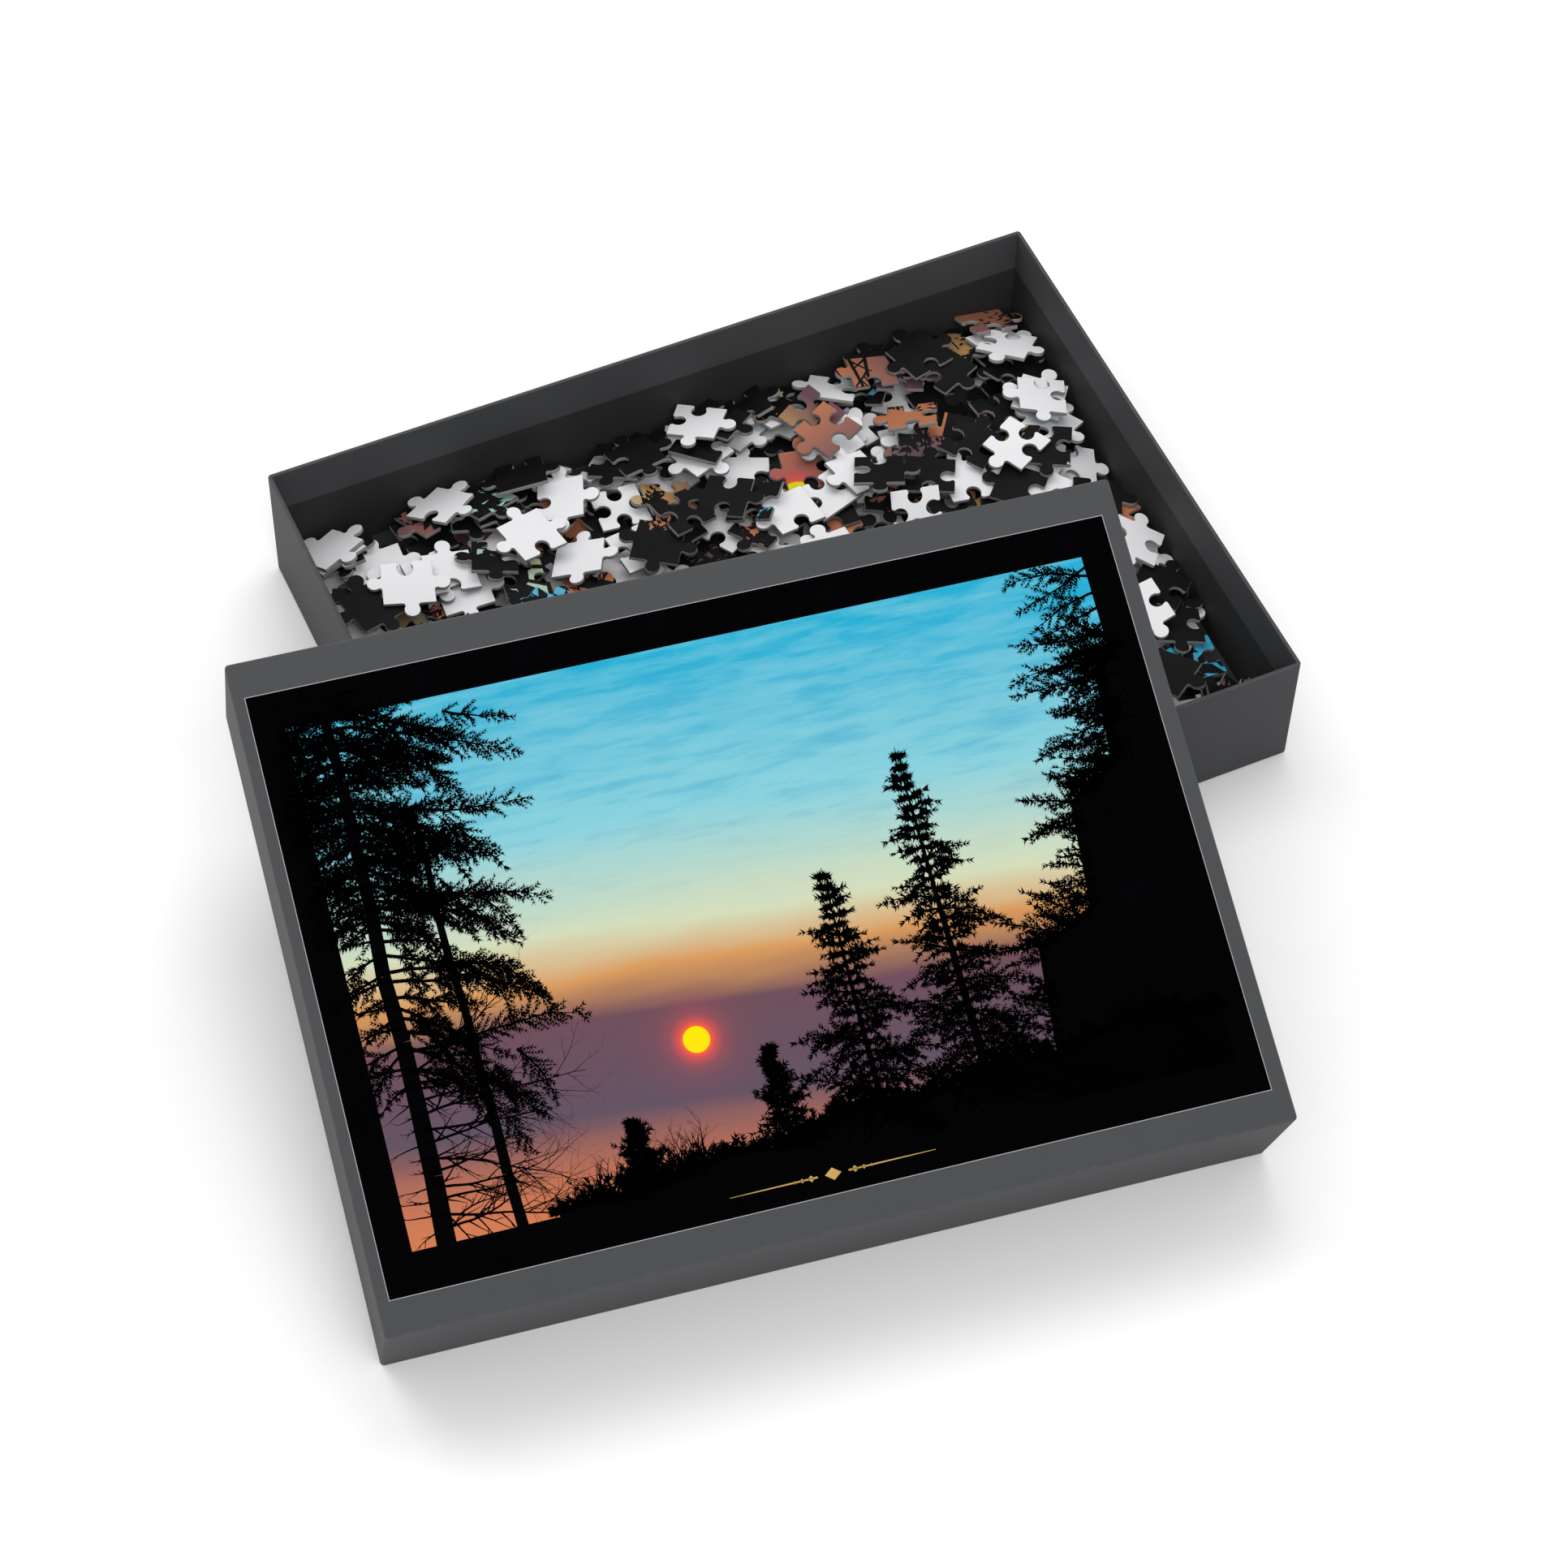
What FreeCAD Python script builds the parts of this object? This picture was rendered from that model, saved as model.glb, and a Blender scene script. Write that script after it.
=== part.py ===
import FreeCAD, Part

import math
import os
import random

# Boxed jigsaw puzzle: a rigid two-piece box with 500 die-cut pieces.
#
# The tray stands open with the pieces loose in it. The lid is off: its front edge stands on the
# table and its right skirt lies on the tray's front rim. Millimetres, +Z up, and the origin is
# the middle of the tray's underside, with X along the tray's long side and Y towards its back.

# ---------------------------------------------------------------- driving dimensions: the box
TRAY_LENGTH = 350.0
TRAY_WIDTH = 261.0
TRAY_HEIGHT = 61.0
LID_HEIGHT = 61.0  # without the label
BOARD = 1.5  # greyboard of the tray and the lid
PAPER = 0.12  # wrap, lining and base sheet
FIT_GAP = 0.31  # between the tray's outside and the closed lid's inside, each side
CORNER_RADIUS = 1.6  # outside vertical edges of the wrapped box
TURN_IN = 22.0  # how far the wrap turns in over the rim
WRAP_MARGIN = 12.0  # how far the wrap turns in under the tray's base
SHEET_INSET = 4.0  # bare border of the wrap around the base sheet
STAY_LEG = 12.0  # each leg of the paper angle that holds a board corner
STAY_PAPER = 0.1
STAY_SHORT = 1.2  # a stay ends this far from the board's upper and lower edge
SEAM = 0.2  # gap between two board flaps at a corner
SKIN_GAP = 0.1  # lining paper stops this far from its neighbour
LABEL_LENGTH = 343.0
LABEL_WIDTH = 237.5
LABEL_PAPER = 0.15
LABEL_SHIFT = (-1.0, -0.6)  # the label is glued a little off the middle of the lid

# ---------------------------------------------------------------- where the lid leans
LID_YAW = -8.35
LID_TILT = 19.8
LID_MIDDLE_X = -100.25  # middle of the edge that stands on the table
REST_GAP = 0.3  # between the lid's skirt and the tray's rim

# ---------------------------------------------------------------- the puzzle
COLUMNS = 25
ROWS = 20
PUZZLE_LENGTH = 540.0
PUZZLE_WIDTH = 413.0
PIECE_THICKNESS = 1.9
CORNER_WANDER = 0.8  # how far a cut's crossing may lie off the even grid
TAB_PLACE = (0.46, 0.54)  # along the side
TAB_RADIUS = (3.05, 3.5)
TAB_REACH = (1.0, 1.08)  # height of the tab's centre, in tab radii
NECK_RADIUS = (0.9, 1.25)
CUT_SEED = 41

# ---------------------------------------------------------------- the heap
HEAP_SEED = 7
CELL = 0.6  # grid of the heap's height
ARC_STEPS = 10  # strokes that stand for one arc of a piece's outline
STRAIGHT_STEP = 0.42  # longest stroke that stands for part of a straight side
NEAR = 0.21  # a cell this close to a piece's outline counts as under it
CREST_STRIDE = 6  # every sixth point of the outline is felt when a place is chosen
REST_STRIDE = 3  # every third cell is felt when the resting slope is found
SLOPE_STEPS = (0.2, 0.01)  # first and last step of the search for that slope
WALL_CLEAR = 0.5
LAYER_CLEAR = 0.15  # air kept between two pieces
STEEPEST = 0.5  # tangent of the steepest piece
JOSTLE = 0.06  # how far a piece's slope may be off its settled one
TRIES = 12  # places tried for each piece
BACK_UP_SHARE = 0.54  # share of the pieces that lie with their pale back up
LOOSE_COUNT = 12
LOOSE_SPACING = 38.0
LID_SHADOW_CLEAR = 18.0  # loose pieces stay this far outside the lid's plan

# ---------------------------------------------------------------- derived
WALL = BOARD + 2 * PAPER
LID_LENGTH = TRAY_LENGTH + 2 * (FIT_GAP + WALL)
LID_WIDTH = TRAY_WIDTH + 2 * (FIT_GAP + WALL)
TRAY_FLOOR = 2 * PAPER + BOARD + PAPER
INSIDE_X = TRAY_LENGTH / 2 - WALL
INSIDE_Y = TRAY_WIDTH / 2 - WALL


# ================================================================ sheets and shells
def slab(length, width, low, high, radius=0.0):
    """A plate centred on the Z axis, with rounded upright edges."""
    x = length / 2
    y = width / 2
    if radius <= 0:
        return Part.makeBox(length, width, high - low, FreeCAD.Vector(-x, -y, low))
    r = radius
    k = r * (1 - math.sqrt(0.5))
    sides = [
        ((-x + r, -y), (x - r, -y), (x - k, -y + k), (x, -y + r)),
        ((x, -y + r), (x, y - r), (x - k, y - k), (x - r, y)),
        ((x - r, y), (-x + r, y), (-x + k, y - k), (-x, y - r)),
        ((-x, y - r), (-x, -y + r), (-x + k, -y + k), (-x + r, -y)),
    ]
    edges = []
    for start, end, middle, after in sides:
        points = [FreeCAD.Vector(p[0], p[1], low) for p in (start, end, middle, after)]
        edges.append(Part.LineSegment(points[0], points[1]).toShape())
        edges.append(Part.Arc(points[1], points[2], points[3]).toShape())
    face = Part.Face(Part.Wire(edges))
    return face.extrude(FreeCAD.Vector(0, 0, high - low))


def ring(length, width, outer_inset, inner_inset, low, high):
    """An upright band between two insets from the outline length x width."""
    outer_radius = max(CORNER_RADIUS - outer_inset, 0.0)
    inner_radius = max(CORNER_RADIUS - inner_inset, 0.0)
    outer = slab(length - 2 * outer_inset, width - 2 * outer_inset, low, high, outer_radius)
    hole_low = low - 1
    hole_high = high + 1
    hole = slab(
        length - 2 * inner_inset, width - 2 * inner_inset, hole_low, hole_high, inner_radius
    )
    return outer.cut(hole)


def corners(length, width):
    """The four corners of an outline, as signs and positions."""
    for sign_x in (-1, 1):
        for sign_y in (-1, 1):
            yield sign_x, sign_y, sign_x * length / 2, sign_y * width / 2


def stay_strips(length, width, low, high):
    """The paper angles round the four upright board corners, in the board's outer face."""
    band = ring(length, width, PAPER, PAPER + STAY_PAPER, low, high)
    strips = []
    for sign_x, sign_y, x, y in corners(length, width):
        reach = STAY_LEG + PAPER
        box_low = FreeCAD.Vector(min(x, x - sign_x * reach), min(y, y - sign_y * reach), low - 1)
        strips.append(band.common(Part.makeBox(reach, reach, high - low + 2, box_low)))
    return strips


def seams(length, width, low, high):
    """The slits at the corners, where the long flaps cover the ends of the short ones."""
    slits = []
    for sign_x, sign_y, x, y in corners(length, width):
        seam_y = y - sign_y * (PAPER + BOARD)
        x_low = min(x, x - sign_x * WALL)
        y_low = min(seam_y, seam_y - sign_y * SEAM)
        slits.append(Part.makeBox(WALL, SEAM, high - low, FreeCAD.Vector(x_low, y_low, low)))
    return slits


def board_panels(name, length, width, panel_low, walls_low, walls_high, stays):
    """The greyboard blank in its five parts: a panel, and a flap on each of its score lines."""
    inset = 2 * PAPER
    radius = CORNER_RADIUS - PAPER
    cuts = Part.makeCompound(stays)
    panel = slab(length - inset, width - inset, panel_low, panel_low + BOARD, radius)
    panels = {name + "_panel": panel.cut(cuts)}
    walls = ring(length, width, PAPER, PAPER + BOARD, walls_low, walls_high)
    slits = Part.makeCompound(stays + seams(length, width, walls_low, walls_high))
    for flap in walls.cut(slits).Solids:
        middle = flap.BoundBox.Center
        if flap.BoundBox.XLength > flap.BoundBox.YLength:
            side = "back" if middle.y > 0 else "front"
        else:
            side = "right" if middle.x > 0 else "left"
        panels["%s_%s_flap" % (name, side)] = flap
    return panels


def lining(length, width, leaf_low, wall_low, wall_high):
    """The black paper inside a box half: a leaf on the board's floor, and its four walls."""
    walls = ring(length, width, PAPER + BOARD, WALL, wall_low, wall_high)
    inset = 2 * (PAPER + BOARD)
    leaf = slab(length - inset, width - inset, leaf_low, leaf_low + PAPER)
    return walls.fuse(leaf).removeSplitter()


# ================================================================ tray
def tray_nodes():
    """The tray's pieces, with the underside of its base sheet at z = 0."""
    size = (TRAY_LENGTH, TRAY_WIDTH)
    board_low = 2 * PAPER
    floor_high = board_low + BOARD
    board_high = TRAY_HEIGHT - PAPER
    band_low = TRAY_HEIGHT - TURN_IN
    stays = stay_strips(*size, board_low + STAY_SHORT, board_high - STAY_SHORT)
    wrap = ring(*size, 0.0, PAPER, PAPER, TRAY_HEIGHT)
    margin = ring(*size, 0.0, WRAP_MARGIN, PAPER, 2 * PAPER)
    over_rim = ring(*size, 0.0, WALL, board_high, TRAY_HEIGHT)
    turned_in = ring(*size, PAPER + BOARD, WALL, band_low, TRAY_HEIGHT)
    wrap = wrap.fuse([margin, over_rim, turned_in]).removeSplitter()
    base_inset = 2 * SHEET_INSET
    base_sheet = slab(TRAY_LENGTH - base_inset, TRAY_WIDTH - base_inset, 0.0, PAPER)
    nodes = board_panels("tray_board", *size, board_low, floor_high, board_high, stays)
    nodes |= {
        "tray_wrap": wrap,
        "tray_base_sheet": base_sheet,
        "tray_liner": lining(*size, floor_high, floor_high, band_low - SKIN_GAP),
    }
    for number, stay in enumerate(stays, 1):
        nodes["tray_corner_stay_%d" % number] = stay
    return nodes


# ================================================================ lid
def lid_nodes():
    """The lid's pieces, standing upright over the origin with the skirt's edge at z = 0."""
    size = (LID_LENGTH, LID_WIDTH)
    panel_high = LID_HEIGHT - PAPER
    panel_low = panel_high - BOARD
    stays = stay_strips(*size, PAPER + STAY_SHORT, panel_high - STAY_SHORT)
    wrap = ring(*size, 0.0, PAPER, 0.0, LID_HEIGHT)
    top_leaf = slab(*size, panel_high, LID_HEIGHT, CORNER_RADIUS)
    over_rim = ring(*size, 0.0, WALL, 0.0, PAPER)
    turned_in = ring(*size, PAPER + BOARD, WALL, 0.0, TURN_IN)
    wrap = wrap.fuse([top_leaf, over_rim, turned_in]).removeSplitter()
    liner = lining(*size, panel_low - PAPER, TURN_IN + SKIN_GAP, panel_low)
    label = slab(LABEL_LENGTH, LABEL_WIDTH, LID_HEIGHT, LID_HEIGHT + LABEL_PAPER)
    label.translate(FreeCAD.Vector(LABEL_SHIFT[0], LABEL_SHIFT[1], 0))
    nodes = board_panels("lid_board", *size, panel_low, PAPER, panel_low, stays)
    nodes |= {
        "lid_wrap": wrap,
        "lid_liner": liner,
        "lid_picture_label": label,
    }
    for number, stay in enumerate(stays, 1):
        nodes["lid_corner_stay_%d" % number] = stay
    return nodes


def lid_front_y():
    """The Y at the middle of the lid's standing edge, so that the skirt just meets the rim."""
    yaw = math.radians(LID_YAW)
    tilt = math.radians(LID_TILT)
    along = LID_LENGTH / 2 - WALL
    up_slope = (TRAY_HEIGHT + REST_GAP) / math.sin(tilt)
    reach = along * math.sin(yaw) + up_slope * math.cos(tilt) * math.cos(yaw)
    return -TRAY_WIDTH / 2 - reach


def lid_placement():
    """Carries the upright lid to its lean: front edge on the table, right skirt on the rim."""
    x_axis = FreeCAD.Vector(1, 0, 0)
    z_axis = FreeCAD.Vector(0, 0, 1)
    turn = FreeCAD.Rotation(z_axis, LID_YAW).multiply(FreeCAD.Rotation(x_axis, LID_TILT))
    centre = FreeCAD.Placement(FreeCAD.Vector(0, LID_WIDTH / 2, 0), FreeCAD.Rotation())
    lean = FreeCAD.Placement(FreeCAD.Vector(LID_MIDDLE_X, lid_front_y(), 0), turn)
    return lean.multiply(centre)


# ================================================================ the die's cut
class Cut:
    """The grid of cutting rules: crossings, and one tab for each shared side."""

    def __init__(self):
        rng = random.Random(CUT_SEED)
        self.crossings = {}
        for row in range(ROWS + 1):
            for column in range(COLUMNS + 1):
                self.crossings[row, column] = self.crossing(rng, row, column)
        self.tabs = {}
        for row in range(ROWS + 1):
            for column in range(COLUMNS + 1):
                for way in ("along", "up"):
                    self.tabs[way, row, column] = self.tab(rng)

    @staticmethod
    def crossing(rng, row, column):
        wander_x = rng.uniform(-CORNER_WANDER, CORNER_WANDER)
        wander_y = rng.uniform(-CORNER_WANDER, CORNER_WANDER)
        if column in (0, COLUMNS):
            wander_x = 0.0
        if row in (0, ROWS):
            wander_y = 0.0
        x = column * PUZZLE_LENGTH / COLUMNS + wander_x
        y = row * PUZZLE_WIDTH / ROWS + wander_y
        return x, y

    @staticmethod
    def tab(rng):
        radius = rng.uniform(*TAB_RADIUS)
        return {
            "place": rng.uniform(*TAB_PLACE),
            "radius": radius,
            "reach": radius * rng.uniform(*TAB_REACH),
            "neck": rng.uniform(*NECK_RADIUS),
            "side": rng.choice((-1, 1)),
        }

    def side(self, way, row, column):
        """One side as (start, middle, end) strokes; a straight stroke has no middle."""
        start = self.crossings[row, column]
        if way == "along":
            end = self.crossings[row, column + 1]
            on_border = row in (0, ROWS)
        else:
            end = self.crossings[row + 1, column]
            on_border = column in (0, COLUMNS)
        if on_border:
            return [(start, None, end)]
        return tabbed_side(start, end, self.tabs[way, row, column])

    def outline(self, row, column):
        """The closed outline of a piece, anticlockwise, about the middle of its grid cell."""
        strokes = list(self.side("along", row, column))
        strokes += self.side("up", row, column + 1)
        strokes += backwards(self.side("along", row + 1, column))
        strokes += backwards(self.side("up", row, column))
        middle_x = (column + 0.5) * PUZZLE_LENGTH / COLUMNS
        middle_y = (row + 0.5) * PUZZLE_WIDTH / ROWS
        moved = []
        for stroke in strokes:
            moved.append([p and (p[0] - middle_x, p[1] - middle_y) for p in stroke])
        return moved


def backwards(strokes):
    return [(end, middle, start) for start, middle, end in reversed(strokes)]


def tabbed_side(start, end, tab):
    """Straight, neck arc, head arc, neck arc, straight: every join but the corners is tangent."""
    length = math.hypot(end[0] - start[0], end[1] - start[1])
    along = ((end[0] - start[0]) / length, (end[1] - start[1]) / length)
    across = (-along[1] * tab["side"], along[0] * tab["side"])
    head = tab["radius"]
    neck = tab["neck"]
    reach = tab["reach"]
    centre = tab["place"] * length
    spread = math.sqrt((head + neck) ** 2 - (reach - neck) ** 2)
    share = neck / (head + neck)
    touch = (spread * (1 - share), neck + (reach - neck) * share)
    turn = math.atan2(reach - neck, spread)
    halfway = (turn - math.pi / 2) / 2
    bulge = (spread - neck * math.cos(halfway), neck + neck * math.sin(halfway))

    def place(x, y):
        offset = centre + x
        return (
            start[0] + along[0] * offset + across[0] * y,
            start[1] + along[1] * offset + across[1] * y,
        )

    return [
        (start, None, place(-spread, 0)),
        (place(-spread, 0), place(-bulge[0], bulge[1]), place(-touch[0], touch[1])),
        (place(-touch[0], touch[1]), place(0, reach + head), place(touch[0], touch[1])),
        (place(touch[0], touch[1]), place(*bulge), place(spread, 0)),
        (place(spread, 0), None, end),
    ]


def arc_points(start, middle, end, count):
    """Points along the arc through three points, without its start."""
    ax, ay = start
    bx, by = middle
    cx, cy = end
    d = 2 * (ax * (by - cy) + bx * (cy - ay) + cx * (ay - by))
    a2 = ax * ax + ay * ay
    b2 = bx * bx + by * by
    c2 = cx * cx + cy * cy
    ux = (a2 * (by - cy) + b2 * (cy - ay) + c2 * (ay - by)) / d
    uy = (a2 * (cx - bx) + b2 * (ax - cx) + c2 * (bx - ax)) / d
    radius = math.hypot(ax - ux, ay - uy)
    first = math.atan2(ay - uy, ax - ux)
    half = math.atan2(by - uy, bx - ux) - first
    sweep = math.atan2(cy - uy, cx - ux) - first
    anticlockwise = (half % (2 * math.pi)) < (sweep % (2 * math.pi))
    sweep = sweep % (2 * math.pi) if anticlockwise else -((-sweep) % (2 * math.pi))
    angles = [first + sweep * (i + 1) / count for i in range(count)]
    return [(ux + radius * math.cos(a), uy + radius * math.sin(a)) for a in angles]


def sampled(outline):
    """The outline as a fine polygon."""
    points = []
    for start, middle, end in outline:
        if middle:
            points += arc_points(start, middle, end, ARC_STEPS)
        else:
            length = math.hypot(end[0] - start[0], end[1] - start[1])
            steps = max(1, round(length / STRAIGHT_STEP))
            for i in range(1, steps + 1):
                share = i / steps
                x = start[0] + (end[0] - start[0]) * share
                y = start[1] + (end[1] - start[1]) * share
                points.append((x, y))
    return points


# ================================================================ the heap
class Heap:
    """Pieces dropped one by one, each resting on what already lies under it.

    The heap is known by its height in each cell of a grid. A piece comes to rest on the plane
    that is lowest at its middle and nowhere under the heap.
    """

    def __init__(self):
        self.rng = random.Random(HEAP_SEED)
        self.columns = int(2 * INSIDE_X / CELL) + 2
        self.rows = int(2 * INSIDE_Y / CELL) + 2
        self.height = [TRAY_FLOOR] * (self.columns * self.rows)
        self.resting = []

    def cell(self, x, y):
        """The number of the cell at a point, which is kept within the tray."""
        column = min(max(int((x + INSIDE_X) / CELL), 0), self.columns - 1)
        row = min(max(int((y + INSIDE_Y) / CELL), 0), self.rows - 1)
        return row * self.columns + column

    def middle(self, cell):
        row, column = divmod(cell, self.columns)
        return (column + 0.5) * CELL - INSIDE_X, (row + 0.5) * CELL - INSIDE_Y

    def under(self, polygon):
        """Every cell that the polygon covers or comes near."""
        cells = set()
        for x, y in polygon:
            for dx in (-NEAR, NEAR):
                for dy in (-NEAR, NEAR):
                    cells.add(self.cell(x + dx, y + dy))
        low = min(p[1] for p in polygon)
        high = max(p[1] for p in polygon)
        lines = int((high - low) / (0.5 * CELL)) + 1
        for line in range(lines):
            y = low + (line + 0.5) * (high - low) / lines
            crossings = []
            before = polygon[-1]
            for point in polygon:
                if (before[1] > y) != (point[1] > y):
                    share = (y - before[1]) / (point[1] - before[1])
                    crossings.append(before[0] + share * (point[0] - before[0]))
                before = point
            crossings.sort()
            for left, right in zip(crossings[::2], crossings[1::2]):
                first = self.cell(left, y)
                cells.update(range(first, self.cell(right, y) + 1))
        return cells

    def choose_place(self, polygon, allowed):
        """The lowest of a few random places and turns."""
        best = None
        tries = 0
        while tries < TRIES:
            turn = self.rng.uniform(0, 2 * math.pi)
            flat = turned(polygon, turn)
            reach_x = max(abs(p[0]) for p in flat) + WALL_CLEAR
            reach_y = max(abs(p[1]) for p in flat) + WALL_CLEAR
            x = between_walls(self.rng.uniform(-INSIDE_X, INSIDE_X), INSIDE_X - reach_x)
            y = between_walls(self.rng.uniform(-INSIDE_Y, INSIDE_Y), INSIDE_Y - reach_y)
            if not allowed(x, y):
                continue
            tries += 1
            felt = flat[::CREST_STRIDE]
            crest = max(self.height[self.cell(x + p[0], y + p[1])] for p in felt)
            if best is None or crest < best[0]:
                best = (crest, x, y, turn, flat)
        return best[1:]

    def rest_plane(self, x, y, cells):
        """The slopes of the plane over the cells that is lowest at the point."""
        tops = []
        for cell in cells:
            cell_x, cell_y = self.middle(cell)
            tops.append((self.height[cell], cell_x - x, cell_y - y))

        def height(a, b):
            return max(h - a * dx - b * dy for h, dx, dy in tops)

        slope = (0.0, 0.0)
        lowest = height(*slope)
        step, last_step = SLOPE_STEPS
        while step > last_step:
            moves = [(step, 0), (-step, 0), (0, step), (0, -step)]
            moves += [(step, step), (step, -step), (-step, step), (-step, -step)]
            trials = []
            for move_a, move_b in moves:
                trial = (slope[0] + move_a, slope[1] + move_b)
                if math.hypot(*trial) <= STEEPEST:
                    trials.append((height(*trial), trial))
            best = min(trials)
            if best[0] < lowest - 1e-6:
                lowest, slope = best
            else:
                step /= 2
        jostled = [part + self.rng.uniform(-JOSTLE, JOSTLE) for part in slope]
        return jostled if math.hypot(*jostled) <= STEEPEST else slope

    def drop(self, name, outline, back_up, allowed):
        """Lets one piece fall at a place that is allowed, and records where it lies."""
        polygon = sampled(outline)
        if back_up:
            polygon = [(px, -py) for px, py in polygon]
        x, y, turn, flat = self.choose_place(polygon, allowed)
        cells = self.under([(x + p[0], y + p[1]) for p in flat])
        slope_x, slope_y = self.rest_plane(x, y, sorted(cells)[::REST_STRIDE])
        tilt = tilt_matrix(slope_x, slope_y)
        normal = [tilt[i][2] for i in range(3)]
        lower = []
        upper = []
        for px, py in flat:
            point_x = x + tilt[0][0] * px + tilt[0][1] * py
            point_y = y + tilt[1][0] * px + tilt[1][1] * py
            lower.append((point_x, point_y))
            over_x = point_x + normal[0] * PIECE_THICKNESS
            upper.append((over_x, point_y + normal[1] * PIECE_THICKNESS))
        cells = self.under(lower) | self.under(upper)
        spill = (abs(slope_x) + abs(slope_y)) * CELL / 2
        level = 0.0
        rise = PIECE_THICKNESS / normal[2]
        offsets = {}
        for cell in cells:
            cell_x, cell_y = self.middle(cell)
            offsets[cell] = slope_x * (cell_x - x) + slope_y * (cell_y - y)
            level = max(level, self.height[cell] - offsets[cell] + spill)
        for cell in cells:
            self.height[cell] = level + offsets[cell] + rise + spill + LAYER_CLEAR
        self.resting.append(
            {
                "name": name,
                "at": (x, y, level),
                "turn": turn,
                "slope": (slope_x, slope_y),
                "back_up": back_up,
            }
        )


def between_walls(value, limit):
    """A place that a wall stops, as it stops a piece that slides down against it."""
    return max(-limit, min(limit, value))


def turned(polygon, angle):
    c = math.cos(angle)
    s = math.sin(angle)
    return [(c * x - s * y, s * x + c * y) for x, y in polygon]


def tilt_matrix(slope_x, slope_y):
    """The smallest turn that lays the level plane onto one with these slopes."""
    size = math.sqrt(1 + slope_x**2 + slope_y**2)
    nx = -slope_x / size
    ny = -slope_y / size
    nz = 1 / size
    k = 1 / (1 + nz)
    return [
        [1 - k * nx * nx, -k * nx * ny, nx],
        [-k * nx * ny, 1 - k * ny * ny, ny],
        [-nx, -ny, nz],
    ]


def piece_solid(outline):
    """One die-cut piece, lying flat with its printed face up."""
    edges = []
    for stroke in outline:
        points = [FreeCAD.Vector(p[0], p[1], 0) for p in stroke if p]
        if len(points) == 2:
            edges.append(Part.LineSegment(*points).toShape())
        else:
            edges.append(Part.Arc(*points).toShape())
    face = Part.Face(Part.Wire(edges))
    return face.extrude(FreeCAD.Vector(0, 0, PIECE_THICKNESS))


def placed(solid, piece):
    """The solid carried to where its piece lies."""
    x_axis = FreeCAD.Vector(1, 0, 0)
    z_axis = FreeCAD.Vector(0, 0, 1)
    if piece["back_up"]:
        solid.rotate(FreeCAD.Vector(0, 0, PIECE_THICKNESS / 2), x_axis, 180)
    solid.rotate(FreeCAD.Vector(0, 0, 0), z_axis, math.degrees(piece["turn"]))
    slope_x, slope_y = piece["slope"]
    steepness = math.hypot(slope_x, slope_y)
    if steepness > 1e-9:
        hinge = FreeCAD.Vector(slope_y, -slope_x, 0)
        solid.rotate(FreeCAD.Vector(0, 0, 0), hinge, math.degrees(math.atan(steepness)))
    solid.translate(FreeCAD.Vector(*piece["at"]))
    return solid


def outside_lid_plan(x, y):
    """True where a piece can be lifted straight up past the leaning lid."""
    yaw = math.radians(LID_YAW)
    depth = LID_WIDTH * math.cos(math.radians(LID_TILT))
    away_x = x - LID_MIDDLE_X
    away_y = y - lid_front_y()
    along = away_x * math.cos(yaw) + away_y * math.sin(yaw)
    back = away_y * math.cos(yaw) - away_x * math.sin(yaw)
    return back > depth + LID_SHADOW_CLEAR or along > LID_LENGTH / 2 + LID_SHADOW_CLEAR


def fill_tray(cut):
    """Drops the 500 pieces in random order. The last few, apart and past the lid, stay loose."""
    heap = Heap()
    names = [(row, column) for row in range(ROWS) for column in range(COLUMNS)]
    heap.rng.shuffle(names)
    loose_names = names[-LOOSE_COUNT:]

    def anywhere(x, y):
        return True

    def apart_past_lid(x, y):
        loose = heap.resting[len(names) - LOOSE_COUNT :]
        gaps = [math.hypot(x - other["at"][0], y - other["at"][1]) for other in loose]
        return outside_lid_plan(x, y) and min(gaps, default=LOOSE_SPACING) >= LOOSE_SPACING

    for name in names:
        back_up = heap.rng.random() < BACK_UP_SHARE
        allowed = apart_past_lid if name in loose_names else anywhere
        heap.drop(name, cut.outline(*name), back_up, allowed)
    return heap.resting[:-LOOSE_COUNT], heap.resting[-LOOSE_COUNT:]


def piece_nodes():
    """The 500 pieces: a node for each row of the cut, and one for each loose piece."""
    cut = Cut()
    settled, loose = fill_tray(cut)
    groups = {row: [] for row in range(ROWS)}
    for piece in sorted(settled, key=lambda piece: piece["name"]):
        row = piece["name"][0]
        groups[row].append(placed(piece_solid(cut.outline(*piece["name"])), piece))
    nodes = {}
    for row, solids in groups.items():
        nodes["pieces_row_%02d" % (row + 1)] = Part.makeCompound(solids)
    for number, piece in enumerate(sorted(loose, key=lambda piece: piece["at"]), 1):
        solid = placed(piece_solid(cut.outline(*piece["name"])), piece)
        nodes["loose_piece_%02d" % number] = solid
    return nodes


# ================================================================ export
def main():
    os.makedirs("parts", exist_ok=True)
    nodes = tray_nodes()
    nodes.update(piece_nodes())
    lean = lid_placement()
    for name, shape in lid_nodes().items():
        shape.Placement = lean.multiply(shape.Placement)
        nodes[name] = shape
    for name, shape in nodes.items():
        if not shape.isValid():
            raise ValueError(name + " is not a valid shape")
        shape.exportStep("parts/%s.step" % name)
    print("%d nodes" % len(nodes))


main()
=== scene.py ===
"""Looks of the boxed jigsaw puzzle, in metres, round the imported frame.

The box halves are rebuilt with the soft folded edges of wrapped board, the lid's label carries
a dawn picture built from small printed shapes, and every piece of the puzzle is rebuilt with
rolled die-cut edges, its own cut-out of the same picture on one face and pale card on the other.
"""

import math
import random

import bpy
from mathutils import Matrix, Vector
from mathutils.geometry import delaunay_2d_cdt


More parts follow.
